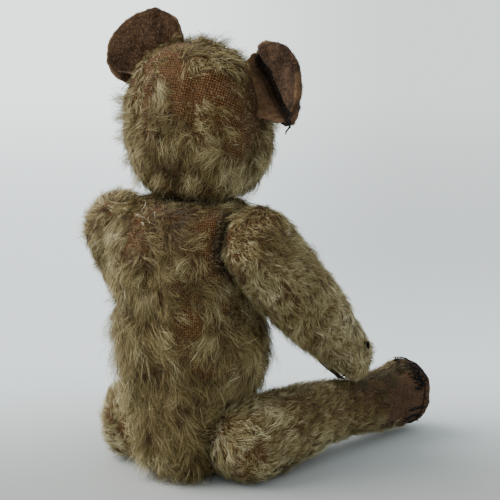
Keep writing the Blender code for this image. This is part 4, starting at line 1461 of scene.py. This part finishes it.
# What each ear's back does. "roll" is how far its outer part rolls out, and "start" where: a share
# of the ear's height, how that slopes along the base, and how it climbs toward the low end.
# "gully" is how deep a groove lies below the roll, and "crease" how deep the fold at the foot is;
# both also set how dark the painted shade in them is. "puckers" are (place along the base, how far
# it reaches, its depth), with painted shade in them too. The foot's entry is how worn the eased
# foot is, and how much painted light brightens it where the head shades it; "leans" how far the
# ear stands off its stiffening, and "eases" how far back from the ear its foot is sewn down
EAR_FORMS = {
    "left": {
        "roll": 0.6,
        "start": (0.3, 0.0, 0.0),
        "gully": 0.0,
        "crease": 1.0,
        "puckers": [(-0.1, 10.0, 1.6), (0.45, 7.0, 0.9)],
        "foot_wear_and_light": 0.3,
        "leans": (-3.5, 5.5, 0.8),
        "eases": 9.0,
    },
    "right": {
        "roll": 3.2,
        "start": (0.46, 0.11, 0.28),
        "gully": 2.0,
        "crease": 0.3,
        "puckers": [],
        "foot_wear_and_light": 1.0,
        "leans": (0.0, 0.0, 0.0),
        "eases": 8.0,
    },
}
# Where the gully and the eased foot begin, as shares of the ear's height: at the middle of the
# base, and how much higher at its low end. The lip is how soft the gully's and the roll's edges are
GULLY_FOOT = (0.12, 0.38)
EASED_FOOT = (0.08, 0.42)
LIP = 0.07
# The strip of cloth that eases an ear's foot down onto the head: where along the base it begins
# and ends, between which shares of its length it reaches back fully, its points each way, how far
# it bulges, its gathers' depths and rates, how thick it is, and how near it comes to the head
EASED_FROM, EASED_TO = -0.92, 0.88
EASED_START, EASED_END = 0.12, 0.82
EASED_COLUMNS = 48
EASED_ROWS = 11
EASED_BULGE = 0.7
GATHERS = ((0.3, 44.0), (0.2, 17.0))
EASED_THICKNESS = 0.6
EASED_CLEARANCE = 0.6


def ear_directions(name):
    """An ear's middle, and its own directions: along its base, up from it, and backward."""
    points = points_of(frame["nodes"][name].data)
    low, high = box_of("head_cover")
    middle = points.mean(0)
    _, _, found = np.linalg.svd(points - middle, full_matrices=False)
    backward = found[2] * math.copysign(1.0, found[2][1])
    outward = middle - (low + high) / 2
    rise = unit(outward - backward * (outward @ backward))
    along = np.cross(rise, backward)
    return middle, np.array([along * math.copysign(1.0, -along[2]), rise, backward])


def ear_extent(local):
    """An ear's size: the middle and the half of its width, and its bottom and top."""
    lowest, highest = local.min(0), local.max(0)
    centre = (highest[0] + lowest[0]) / 2
    return centre, (highest[0] - lowest[0]) / 2, lowest[1], highest[1]


def ear_relief(form, local, facing, extent):
    """An ear's relief at each point: its height, its shade, how far its roll hangs, and its seam."""
    centre, half, bottom, top = extent
    along = (local[:, 0] - centre) / half
    up_share = (local[:, 1] - bottom) / (top - bottom)
    radius = ear_radius(local, extent)
    behind, before = smoothstep(-0.2, 0.4, facing), smoothstep(-0.2, 0.4, -facing)
    begins, slope, climb = form["start"]
    low_end = np.maximum(along, 0.0) ** 2
    start = begins + slope * along + climb * low_end
    foot = GULLY_FOOT[0] + GULLY_FOOT[1] * low_end
    rolled = smoothstep(start, start + LIP, up_share)
    gully = smoothstep(foot, foot + LIP, up_share) * (1.0 - rolled) * form["gully"]
    rolled = rolled * np.sqrt(np.clip((1.03 - radius) / 0.45, 0.0, 1.0))
    seam = bell(radius, EAR_SEAM_AT, EAR_SEAM_WIDTH)
    base = bell(up_share, CREASE_AT, CREASE_WIDTH)
    inside = 1.0 - smoothstep(0.72, 1.0, radius)
    height = form["roll"] * behind * rolled
    height += (EAR_FRONT * inside + 0.6 * gully) * before
    height -= EAR_SEAM_DEPTH * seam * (behind + before)
    height -= (form["crease"] * base + gully) * behind
    shade = np.maximum(0.75 * form["crease"] * base, np.minimum(gully, 1.0)) * behind
    for place, reach, depth in form["puckers"]:
        beside = np.abs((along - place) * half - local[:, 1] * 0.1)
        groove = bell(beside, 0.0, PUCKER_WIDTH) * smoothstep(reach, 0.0, local[:, 1] - bottom)
        height -= depth * groove * behind
        shade = np.maximum(shade, groove * behind)
    overhang = form["roll"] * 0.4 * behind * bell(up_share - start, LIP, 0.06)
    return height, shade, overhang, seam


def ear_radius(local, extent):
    """How far out toward an ear's rim points lie: 0 at the middle of its round top, 1 at the rim."""
    centre, half, _, top = extent
    tall = half * 0.9
    return np.hypot((local[:, 0] - centre) / half, (local[:, 1] - (top - tall)) / tall)


def build_ear(side, skin):
    """Two layers of worn velveteen with a turned rim, creased where the ear is sewn on."""
    name = f"{side}_ear"
    form = EAR_FORMS[side]
    shape = remeshed(frame["nodes"][name].data, EAR_VOXEL, EAR_SMOOTHING)
    points = points_of(shape)
    normals = normals_of(shape)
    middle, directions = ear_directions(name)
    local = (points - middle) @ directions.T
    extent = ear_extent(local)
    radius = ear_radius(local, extent)
    height, shade, overhang, seam = ear_relief(form, local, normals @ directions[2], extent)
    height += 0.35 * drift(61, 7.0)(points) + 0.18 * drift(62, 2.5)(points)
    ragged = 0.12 * drift(63, 2.0)(points) + 0.2 * drift(64, 7.0)(points)
    edge = smoothstep(0.9, 1.02, radius)
    outward = unit(local * (1.0, 1.0, 0.0)) @ directions
    points = points + normals * height[:, None] + outward * (edge * ragged)[:, None]
    points -= directions[1] * overhang[:, None]
    put_points(shape, points + form["leans"])
    rim = bell(extent[1] * 0.95 * (1.02 - radius), 0.0, EAR_RIM)
    paint(shape, "WornAndLit", np.clip(rim * (0.5 + 0.8 * drift(66, 6.0)(points)), 0.0, 1.0))
    # Painted shade in the gully, the fold at the foot and the puckers, and a darker line along the seam
    paint(shape, "ShadeAndSoil", np.clip(np.maximum(shade, 0.8 * seam * (1.0 - rim)), 0.0, 1.0))
    shape = joined(name, shape, ease_onto_head(side, shape, skin, (middle, directions), extent))
    laid_over_head.append(tree_of(shape))
    shape.shade_smooth()
    ear = add_piece(f"{name}_cloth", shape, EAR_CLOTH, "head")
    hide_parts(name)

    def keep(roots):
        return 0.9 - 0.6 * smoothstep(0.1, 0.9, drift(65, 4.0)(roots))

    grow_hairs(f"{name}_nap", "head", shape, EAR_NAP, NAP, keep)


def foot_of_ear(trees, placing, extent, along):
    """Where an ear's back is first clear of the head, as it goes up from its base."""
    ear, head = trees
    middle, (sideways, rise, backward) = placing
    centre, half, bottom, top = extent
    foot = EASED_FOOT[0] + EASED_FOOT[1] * max(along, 0.0) ** 2
    spot = None
    while spot is None and foot < 1.0:
        aim = (along * half + centre) * sideways + (bottom + foot * (top - bottom)) * rise
        spot = landed([ear], middle + aim + backward * 30.0, -backward)
        if spot is not None and above_surface(head, spot)[0] < EASED_CLEARANCE:
            spot = None
        foot += 0.03
    return spot


def ease_onto_head(side, shape, skin, placing, extent):
    """The foot of an ear's back layer, eased down onto the head and gathered where it is sewn."""
    form = EAR_FORMS[side]
    ear, head = tree_of(shape), tree_of(skin)
    backward = placing[1][2]
    points, strip_shade = [], []
    for column in range(EASED_COLUMNS):
        share = column / (EASED_COLUMNS - 1)
        spot = foot_of_ear((ear, head), placing, extent, EASED_FROM + (EASED_TO - EASED_FROM) * share)
        ends = max(smoothstep(EASED_START, 0.0, share), smoothstep(EASED_END, 1.0, share))
        seat, out = nearest_on(head, spot + backward * form["eases"])
        seat = spot + (seat - out * 0.4 - spot) * (1.0 - 0.75 * ends)
        bulge = unit(backward + out)
        gather = sum(depth * math.sin(share * folds) for depth, folds in GATHERS)
        for row in range(EASED_ROWS):
            t = row / (EASED_ROWS - 1)
            point = (spot - backward * 0.5) * (1.0 - t) + seat * t
            point = point + bulge * (EASED_BULGE + gather * t) * math.sin(math.pi * t)
            height, normal = above_surface(head, point)
            least = (EASED_CLEARANCE + 0.5 * gather * t) * (1.0 - t**4)
            points.append(point + normal * max(0.0, least - height))
            # Painted shade where the strip meets the ear and the head, and in its gathers' folds
            strip_shade.append(max(0.7 * (1.0 - 6.0 * t), 0.6 * (7.0 * t - 6.0), -0.5 * gather))
    faces = []
    for column in range(EASED_COLUMNS - 1):
        for row in range(EASED_ROWS - 1):
            a = column * EASED_ROWS + row
            b = a + EASED_ROWS
            faces += [(a, a + 1, b + 1), (a, b + 1, b)]
    strip = triangles_mesh(f"{side}_ear_foot", np.array(points), np.array(faces))
    # The eased foot's wear, and painted light where the head shades it
    paint(strip, "WornAndLit", np.full(len(points), form["foot_wear_and_light"]))
    paint(strip, "ShadeAndSoil", np.clip(strip_shade, 0.0, 1.0))
    return modified(strip, ("SOLIDIFY", {"thickness": EASED_THICKNESS * MM, "offset": 0.0}))


def joined(name, *shapes):
    """Several meshes as one."""
    return edited(name, editable(*shapes))


# ---------------------------------------------------------------- pads and stitches


PAD_VOXEL = 1.0
PAD_SMOOTHING = 4
PADS = {"right_foot": "leg", "left_foot": "leg", "right_paw": "arm", "left_paw": "arm"}


def body_of(limb):
    """The body that a pad is sewn on."""
    return f"{limb.split('_')[0]}_{PADS[limb]}"


# How far a foot pad's cloth is turned over the foot's end: at the least, and on its outer side
TURNED_OVER = {"right_foot": (3.0, 33.0), "left_foot": (2.0, 3.0)}
# The turned cloth: how far it lies off the skin, how much farther by the rim, and how thick it is
TURNED_LIFT = 0.7
PAD_RIM = 1.2
TURNED_THICKNESS = 0.5
# How many blanket stitches go round a leg's pad and an arm's, and half of each one's length
BLANKET_STITCHES = {"leg": (17, 3.4), "arm": (12, 2.2)}
# How far stitches lie off the cloth, their radius, and how far apart two points of one may be
STITCH_LIFT = 0.4
STITCH_RADIUS = 0.3
LONGEST_STEP = 6.0
# The foot that was mended crudely, and its stitches: their radius, how many lie heaped along the
# rim's top, how far round they are, where they start behind the sole, and how long they are
CRUDE = "right_foot"
CRUDE_RADIUS = 0.33
HEAPED = 34
HEAPED_ROUND = (22.0, 112.0)
HEAPED_START = (-0.5, 6.0)
HEAPED_LENGTHS = (4.0, 8.0)
# How far behind the sole its long threads along the rim lie
RIM_THREADS = (1.0, 2.2, 3.6, 5.2)
# Its long single stitches: how far round the foot, and how far behind the sole they start and end
DARNS = [
    (-20, 1, 13), (-22, 2, 14), (-24, 12, 3), (-25, 1, 10),
    (-42, 2, 16), (-44, 4, 17), (-46, 3, 12), (-58, 1, 9),
]


def pad_directions(name, body):
    """A pad's middle, the way that it faces, two directions across it, and the limb's outer side."""
    points = points_of(frame["nodes"][name].data)
    middle = points.mean(0)
    facing, _, outer = own_directions(body)[1]
    if not name.endswith("_foot_pad"):
        _, _, found = np.linalg.svd(points - middle, full_matrices=False)
        facing = found[2]
        inward = points_of(frame["nodes"][f"{body}_cover"].data).mean(0) - middle
        facing = facing * -math.copysign(1.0, facing @ inward)
    return middle, facing, *across_and_up(facing), outer


def turned_over(limb, placing, points):
    """How far behind the sole points lie, and how far the turned cloth's ragged edge is there."""
    middle, facing, _, _, outer = placing
    away = points - middle
    depth = away @ facing
    sideways = unit(away - depth[:, None] * facing)
    least, most = TURNED_OVER[limb]
    edge = least + (most - least) * smoothstep(0.1, 1.0, sideways @ outer)
    edge += (1.0 + 0.05 * edge) * (drift(75, 5.0)(points) + 0.5 * drift(76, 1.6)(points))
    return -depth, edge


def turned_cloth(limb, skin, placing):
    """The skin's surface as far as the pad's cloth is turned over it, lifted and given a thickness."""
    points = points_of(skin)
    behind, edge = turned_over(limb, placing, points)
    shape = editable(skin)
    near = (behind < edge + 3.0) & (behind > -1.0)
    spare = [face for face in shape.faces if not any(near[vertex.index] for vertex in face.verts)]
    bmesh.ops.delete(shape, geom=spare, context="FACES")
    bmesh.ops.subdivide_edges(shape, edges=shape.edges, cuts=2, use_grid_fill=True)
    shape.normal_update()
    centres = np.array([face.calc_center_median() for face in shape.faces]) / MM
    behind, edge = turned_over(limb, placing, centres)
    spare = [face for face, past in zip(shape.faces, behind > edge) if past]
    bmesh.ops.delete(shape, geom=spare, context="FACES")
    made = edited(limb, shape)
    points = points_of(made)
    behind, edge = turned_over(limb, placing, points)
    lift = TURNED_LIFT + 0.4 * drift(77, 3.0)(points) + 0.2 * drift(78, 1.3)(points)
    lift *= smoothstep(-0.5, 2.5, edge - behind)
    lift += PAD_RIM * smoothstep(3.5, 0.0, behind)
    put_points(made, points + normals_of(made) * lift[:, None])
    made = modified(made, ("SOLIDIFY", {"thickness": TURNED_THICKNESS * MM, "offset": -1.0}))
    made.shade_smooth()
    return made


def map_flat(shape, placing):
    """The cloth's own map in millimetres, as it lies flat on the pad."""
    middle, _, across, upward, _ = placing
    away = points_of(shape) - middle
    flat = np.stack([away @ across, away @ upward], 1)
    add_map(shape, "Cloth", flat[corners_of(shape)])


def build_pad(limb, skin):
    """A sewn-on cloth pad, with the edge of a foot's turned over, and the stitches round it."""
    body = body_of(limb)
    name = f"{limb}_pad"
    shape = remeshed(frame["nodes"][name].data, PAD_VOXEL, PAD_SMOOTHING)
    placing = pad_directions(name, body)
    points = points_of(shape)
    puff = 0.3 * drift(71, 9.0)(points) + 0.22 * drift(72, 3.0)(points)
    put_points(shape, points + normals_of(shape) * puff[:, None])
    shape.shade_smooth()
    map_flat(shape, placing)
    paint(shape, "ShadeAndSoil", np.clip(0.5 * drift(74, 6.0)(points), 0.0, 1.0))
    pad = add_piece(f"{name}_cloth", shape, PAD_CLOTH, body)
    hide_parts(name)
    trees = [tree_of(shape), tree_of(skin)]
    if limb in TURNED_OVER:
        trees.append(tree_of(build_turned_edge(limb, body, skin, placing)))
    build_pad_stitches(limb, body, trees, placing)


def build_turned_edge(limb, body, skin, placing):
    """A foot pad's cloth where it is turned over the foot's end, and the frays along its edge."""
    shape = turned_cloth(limb, skin, placing)
    paint(shape, "ShadeAndSoil", np.clip(0.45 * drift(79, 5.0)(points_of(shape)), 0.0, 1.0))
    edge = add_piece(f"{limb}_pad_turned_edge", shape, PAD_CLOTH, body)

    def keep(roots):
        return 0.15 + 0.85 * (np.subtract(*turned_over(limb, placing, roots)) > -1.5)

    grow_hairs(f"{limb}_pad_frays", body, shape, EAR_NAP, FRAYS, keep)
    return shape


def sideways_from(placing, turn):
    """The direction that lies that far round a pad."""
    _, _, across, upward, _ = placing
    return across * math.cos(turn) + upward * math.sin(turn)


def beside_foot(trees, placing, turn, depth, above):
    """A point on the side of a foot, that far round it and that far behind the sole."""
    middle, facing = placing[:2]
    sideways = sideways_from(placing, turn)
    return landed(trees, middle - facing * depth + sideways * 40.0, -sideways, above)


def on_turned_edge(limb, trees, placing, turn, past, above):
    """A point by the turned cloth's edge, that far past it and that far round the foot."""
    spot = beside_foot(trees, placing, turn, sum(TURNED_OVER[limb]) / 2, 0.0)
    _, edge = turned_over(limb, placing, spot[None])
    return beside_foot(trees, placing, turn, float(edge[0]) + past, above)


def beside_paw(trees, placing, turn, past, above):
    """A point by a paw pad's edge, that far past it and that far round it."""
    middle, facing = placing[:2]
    sideways = sideways_from(placing, turn)
    extent = 3.0
    while landed(trees[:1], middle + sideways * extent + facing * 15.0, -facing) is not None:
        extent += 0.5
    return landed(trees, middle + sideways * (extent + past) + facing * 15.0, -facing, above)


def build_pad_stitches(limb, body, trees, placing):
    """Blanket stitches round a pad, or the crude ones that have taken their place."""
    rng = np.random.default_rng(len(limb) + (limb[0] == "l"))
    count, reach = BLANKET_STITCHES[PADS[limb]]
    turns, stitches = [], []
    # The crude foot's blanket stitches are planned too, in pairs, but darning takes their place
    for index in range(count):
        turns.append(math.tau * (index + rng.uniform(-0.25, 0.25)) / count)
        for _ in range(2 if limb == CRUDE else 1):
            skew = rng.normal(0.0, 0.12)
            stitches.append((turns[-1], skew, reach * rng.uniform(0.8, 1.25)))
    if limb == CRUDE:
        lines = darned(trees, placing, rng)
        add_threads(f"{limb}_stitches", body, BLACK_THREAD, lines, CRUDE_RADIUS)
    else:
        lines = blanket_stitched(limb, trees, placing, turns, stitches)
        add_threads(f"{limb}_stitches", body, BROWN_THREAD, lines, STITCH_RADIUS)


def blanket_stitched(limb, trees, placing, turns, stitches):
    """Blanket stitches: short ones over the pad's edge, and a thread that links them."""
    def by_edge(turn, past, above):
        if limb in TURNED_OVER:
            return on_turned_edge(limb, trees, placing, turn, past, above)
        return beside_paw(trees, placing, turn, past, above)

    lines = []
    for turn, skew, size in stitches:
        line = [
            by_edge(turn + skew * share, size * share, STITCH_LIFT - 0.9 * share**4)
            for share in np.linspace(-1.0, 1.0, 5)
        ]
        add_if_whole(lines, line)
    for first, second in zip(turns, turns[1:]):
        link = [by_edge(first + (second - first) * share, 0.4, STITCH_LIFT) for share in QUARTERS]
        add_if_whole(lines, link)
    return lines


def darned(trees, placing, rng):
    """Crude stitches, heaped along the top of a worn foot's rim, and a few long ones below."""
    lines = []
    for _ in range(HEAPED):
        turn = math.radians(rng.uniform(*HEAPED_ROUND))
        lean = math.radians(rng.normal(0.0, 9.0))
        start, size = rng.uniform(*HEAPED_START), rng.uniform(*HEAPED_LENGTHS)
        line = []
        for share in QUARTERS:
            above = 1.0 - 1.6 * (2 * share - 1) ** 2
            line.append(beside_foot(trees, placing, turn + lean * share, start + size * share, above))
        add_if_whole(lines, line)
    for depth in RIM_THREADS:
        line = []
        for turn in np.radians(np.linspace(rng.uniform(15.0, 30.0), rng.uniform(95.0, 120.0), 14)):
            line.append(beside_foot(trees, placing, turn, depth + rng.normal(0.0, 0.5), 0.9))
        add_if_whole(lines, line)
    for turn, start, end in DARNS:
        wander = np.cumsum(rng.normal(0.0, 0.8, len(QUARTERS)))
        line = [
            beside_foot(trees, placing, math.radians(turn + away), start + (end - start) * share, 0.5)
            for share, away in zip(QUARTERS, wander)
        ]
        add_if_whole(lines, line)
    return lines


def add_if_whole(lines, line):
    """Keep a thread's line if each of its points was found, and none of them is far off."""
    if any(point is None for point in line):
        return
    line = np.array(line)
    if np.linalg.norm(np.diff(line, axis=0), axis=1).max() < LONGEST_STEP:
        lines.append(smooth_line(line, 2 * len(line) - 1))


# ---------------------------------------------------------------- the face


BUTTON_SEGMENTS = 40
# Half of a boot button's section: how far from its axis, and how far out of the head
BUTTON_SECTION = [
    (0.0, 0.4), (3.2, 0.4), (4.1, 0.6), (4.5, 1.1), (4.35, 1.6),
    (3.9, 2.2), (3.1, 2.8), (2.1, 3.2), (1.1, 3.42), (0.0, 3.5),
]
# The least radius of a ring of its points, and how near two points are made one
BUTTON_LEAST_RADIUS = 0.02
BUTTON_WELD = 0.05
# The nose's satin stitches: how many, half of the nose's width and of its tip's, and their radius
NOSE_STITCHES = 15
NOSE_HALF_WIDTH = 6.4
NOSE_TIP_HALF_WIDTH = 1.5
NOSE_FLOSS = 0.55
# The mouth's long stitches: how far above the nose's lowest point they start and fork, how far out
# and how far above the mouth's lowest point they end, how far they sag, and their radius
MOUTH_START = 1.2
MOUTH_FORK = -2.6
MOUTH_CORNER = (8.2, 1.0)
MOUTH_SAG = 0.8
MOUTH_FLOSS = 0.4


def build_eye(side):
    """A domed boot button, set on the head where the eye is."""
    low, high = box_of(f"{side}_eye")
    seat, out = nearest_on(tree_of(outside_of("head_cover")), (low + high) / 2)
    across, upward = across_and_up(out)
    points, faces = [], []
    for radius, height in BUTTON_SECTION:
        for step in range(BUTTON_SEGMENTS):
            turn = math.tau * step / BUTTON_SEGMENTS
            spot = across * math.cos(turn) + upward * math.sin(turn)
            points.append(seat + spot * max(radius, BUTTON_LEAST_RADIUS) + out * height)
    for row in range(len(BUTTON_SECTION) - 1):
        for step in range(BUTTON_SEGMENTS):
            after = (step + 1) % BUTTON_SEGMENTS
            a, b = row * BUTTON_SEGMENTS + step, row * BUTTON_SEGMENTS + after
            faces += [(a, b, b + BUTTON_SEGMENTS), (a, b + BUTTON_SEGMENTS, a + BUTTON_SEGMENTS)]
    shape = triangles_mesh(f"{side}_eye_button", np.array(points), np.array(faces))
    made = editable(shape)
    bmesh.ops.remove_doubles(made, verts=made.verts, dist=BUTTON_WELD * MM)
    bmesh.ops.recalc_face_normals(made, faces=made.faces)
    made.to_mesh(shape)
    made.free()
    piece = add_piece(f"{side}_eye_button", shape, BUTTON, "head")
    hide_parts(f"{side}_eye")


def on_muzzle(trees, x, z, above):
    """The point of the muzzle's front that is seen at x and z."""
    return landed(trees, (x, -200.0, z), BACKWARD, above)


def nose_lines(trees, centre, low, high):
    """Upright satin stitches in a rounded triangle."""
    rng = np.random.default_rng(5)
    lines = []
    for share in np.linspace(-1.0, 1.0, NOSE_STITCHES):
        x = share * NOSE_HALF_WIDTH
        taper = max(0.0, abs(x) - NOSE_TIP_HALF_WIDTH) / (NOSE_HALF_WIDTH - NOSE_TIP_HALF_WIDTH)
        top = high - 0.9 - 0.9 * share**2 + rng.normal(0.0, 0.12)
        bottom = low + 0.8 + (high - low - 3.2) * taper + rng.normal(0.0, 0.15)
        line = []
        for step in np.linspace(0.0, 1.0, 6):
            above = 1.1 * math.sin(math.pi * step) ** 0.5 - 0.2
            z = top + (bottom - top) * step
            line.append(on_muzzle(trees, centre + x * (1.0 - 0.05 * step), z, above))
        add_if_whole(lines, line)
    return lines


def mouth_lines(trees, centre, nose_low, mouth_low):
    """A long stitch down from the nose, and one out to each corner of the mouth, all double."""
    fork = (0.0, nose_low + MOUTH_FORK)
    strokes = [((0.0, nose_low + MOUTH_START), fork)]
    for way in (-1.0, 1.0):
        strokes.append((fork, (way * MOUTH_CORNER[0], mouth_low + MOUTH_CORNER[1])))
    lines = []
    for first, last in strokes:
        for offset in (-0.35, 0.35):
            line = []
            for step in np.linspace(0.0, 1.0, 7):
                bow = math.sin(math.pi * step)
                x = first[0] + (last[0] - first[0]) * step + offset
                z = first[1] + (last[1] - first[1]) * step - MOUTH_SAG * bow * (last[0] != 0)
                line.append(on_muzzle(trees, centre + x, z, 0.45 * bow**0.5))
            add_if_whole(lines, line)
    return lines


def build_nose_and_mouth(skin):
    """Black floss, stitched over the front of the muzzle."""
    trees = [tree_of(skin)]
    nose_low, nose_high = box_of("nose_stitching")
    mouth_low, _ = box_of("mouth_stitching")
    centre = (nose_low[0] + nose_high[0]) / 2
    lines = nose_lines(trees, centre, nose_low[2], nose_high[2])
    nose = add_threads("nose_floss", "head", BLACK_FLOSS, lines, NOSE_FLOSS)
    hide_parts("nose_stitching")
    lines = mouth_lines(trees, centre, nose_low[2], mouth_low[2])
    mouth = add_threads("mouth_floss", "head", BLACK_FLOSS, lines, MOUTH_FLOSS)
    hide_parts("mouth_stitching")


# ---------------------------------------------------------------- what is inside


def finish_inner_pieces():
    """The stuffing and the joints' discs, washers and pins stay, and get their own finishes."""
    finishes = {"stuffing": wood_wool_material(), "disc": hardboard_material()}
    finishes["washer"] = finishes["pin"] = steel_material()
    for name, piece in frame["nodes"].items():
        finish = finishes.get(name.split("_")[-1])
        if finish:
            for slot in piece.material_slots:
                slot.material = finish


# ---------------------------------------------------------------- loose threads


# Where the back's seam has frayed, and how widely, and where the right paw's thread is knotted
FRAYED_AT = (6.0, 76.0, 132.0)
FRAYED_SPREAD = 2.2
PAW_KNOT = (-64.0, -20.0, 59.5)
# How many steps a loose thread's line takes
CURL_STEPS = 7


def curl(start, direction, length, wobble, rng):
    """A loose thread's line, which wanders as it goes."""
    direction = unit(direction)
    line = [np.array(start, float)]
    for _ in range(CURL_STEPS):
        direction = unit(direction + rng.normal(0.0, wobble, 3))
        line.append(line[-1] + direction * length / CURL_STEPS)
    return smooth_line(line, 2 * len(line))


def build_loose_threads(skins):
    """Frayed seam threads between the shoulders, and the knots that hold an ear and a paw."""
    rng = np.random.default_rng(3)
    tree = tree_of(skins["torso"])
    lines = []
    for _ in range(9):
        start, out = nearest_on(tree, np.array(FRAYED_AT) + rng.normal(0.0, FRAYED_SPREAD, 3))
        lines.append(curl(start, out * 0.7 + rng.normal(0.0, 0.6, 3), rng.uniform(5.0, 9.0), 0.45, rng))
    add_threads("back_seam_frays", "torso", PALE_THREAD, lines, 0.22)
    middle, (along, rise, backward) = ear_directions("right_ear")
    points = points_of(frame["nodes"]["right_ear"].data)
    foot = points[np.argmax((points - middle) @ along)]
    knot = foot + backward * 1.6
    lines = [curl(knot, rng.normal(0.0, 1.0, 3), 5.0, 1.3, rng) for _ in range(4)]
    lines.append(curl(knot, along + backward * 0.4, 6.0, 0.3, rng))
    lines.append(curl(knot, -rise + backward, 5.0, 0.4, rng))
    add_threads("right_ear_knot", "head", BLACK_THREAD, lines, 0.4)
    place, out = nearest_on(tree_of(skins["right_arm"]), PAW_KNOT)
    knot = place + out * 2.4
    lines = [curl(knot, rng.normal(0.0, 1.0, 3), 4.5, 1.6, rng) for _ in range(6)]
    lines.append(curl(knot, (0.0, -0.3, -1.0), 8.0, 0.2, rng))
    add_threads("right_paw_knot", "right_arm", BLACK_THREAD, lines, 0.42)


# ---------------------------------------------------------------- the setting


# The camera: from where it looks, how far off it stands, in metres, and how wide it sees
VIEW_AZIMUTH = math.radians(215)
VIEW_ELEVATION = math.radians(12)
VIEW_DISTANCE = 0.8
FIELD_OF_VIEW = math.radians(17.5)
# How far the camera's aim lies to the right of the bear's spine and above it, in metres
VIEW_SHIFT = (0.0296, 0.002)
# The spine's place behind the neck's joint and its height, and half of the floor's side, in metres
SPINE_BACK = 0.005
SPINE_HEIGHT = 0.110
FLOOR_HALF = 20.0


def floor_material(spine, right, away):
    """Matt paper, with painted shade where the bear sits and toward the camera, a painted shadow to the bear's
    right, away from the window, and painted light that pales it far off.
    """
    made, tree, shader = new_material("Paper with painted shade", 0.95, specular=0.05)
    place = object_place(tree)
    from_spine = vector_maths(tree, "SUBTRACT", {0: place, 1: (spine.x, spine.y, 0.0)})[0]

    def measured(direction):
        return vector_maths(tree, "DOT_PRODUCT", {0: from_spine, 1: tuple(direction)})["Value"]

    def spread(value, low, high, to_high=1.0):
        return spread_out(tree, value, low, high, to_high=to_high, kind="SMOOTHSTEP")

    depth = measured(away)
    sideways = measured(right)
    # Painted shade where the bear sits and toward the camera, then painted light paler far off
    colour = mix(tree, spread(depth, -0.06, 0.2), linear(154, 155, 153), linear(206, 212, 213))
    colour = mix(tree, spread(depth, 0.45, 1.8), colour, linear(250, 255, 255))
    # Painted shadow to the bear's right, away from the window
    lean = maths(tree, "DIVIDE", sideways, maths(tree, "ADD", depth, 0.8))
    shaded = maths(tree, "MULTIPLY", spread(lean, -0.05, 0.14, 0.55), spread(depth, -0.1, 0.6))
    colour = mix(tree, shaded, colour, linear(140, 142, 141))
    grain = noise(tree, place, 30.0, 3.0, 0.5)
    colour = mix(tree, maths(tree, "MULTIPLY", grain, 0.05), colour, linear(150, 150, 148))
    tree.links.new(colour, shader.inputs["Base Color"])
    return made


def build_setting():
    """A pale floor, soft light from the window on the left, and the camera."""
    across = math.cos(VIEW_AZIMUTH), math.sin(VIEW_AZIMUTH)
    level = math.cos(VIEW_ELEVATION)
    back = Vector((across[1] * level, -across[0] * level, math.sin(VIEW_ELEVATION)))
    right = Vector((*across, 0.0))
    upward = back.cross(right)
    spine = Vector((0.0, joints["neck"]["pos_m"][1] + SPINE_BACK, SPINE_HEIGHT))

    shape = bmesh.new()
    corners = [(x * FLOOR_HALF, y * FLOOR_HALF, 0.0) for x, y in ((-1, -1), (1, -1), (1, 1), (-1, 1))]
    shape.faces.new([shape.verts.new(corner) for corner in corners])
    floor = edited("Floor", shape)
    floor.materials.append(floor_material(spine, right, Vector((-across[1], across[0], 0.0))))
    sheet = placed("Floor", floor)

    world = bpy.data.worlds.new("Room")
    bpy.context.scene.world = world
    world.use_nodes = True
    backdrop = world.node_tree.nodes["Background"]
    backdrop.inputs["Color"].default_value = linear(228, 238, 240)
    backdrop.inputs["Strength"].default_value = 1.46

    lens = bpy.data.cameras.new("Camera")
    lens.lens = lens.sensor_width / 2 / math.tan(FIELD_OF_VIEW / 2)
    camera = placed("Camera", lens)
    camera.location = spine + back * VIEW_DISTANCE
    aim = spine + right * VIEW_SHIFT[0] + upward * VIEW_SHIFT[1]
    camera.rotation_euler = (aim - camera.location).to_track_quat("-Z", "Y").to_euler()
    bpy.context.scene.camera = camera

    light = bpy.data.lights.new("Window", "SUN")
    light.angle = math.radians(50.0)
    light.energy = 4.9
    light.color = (1.0, 0.98, 0.95)
    toward = -right * 0.9 - back * 0.1 + Vector((0.0, 0.0, 0.9))
    placed("Window", light).rotation_euler = toward.to_track_quat("Z", "Y").to_euler()


finish_inner_pieces()
skins = {body: build_skin(body) for body in STUFFED}
for side in SIDES:
    build_ear(side, skins["head"])
    build_eye(side)
for body in STUFFED:
    for layer in LAYERS:
        grow(body, layer, skins[body])
    grow_stubble(body, skins[body])
grow_tufts(skins)
for limb in PADS:
    build_pad(limb, skins[body_of(limb)])
build_nose_and_mouth(skins["head"])
build_loose_threads(skins)
build_setting()
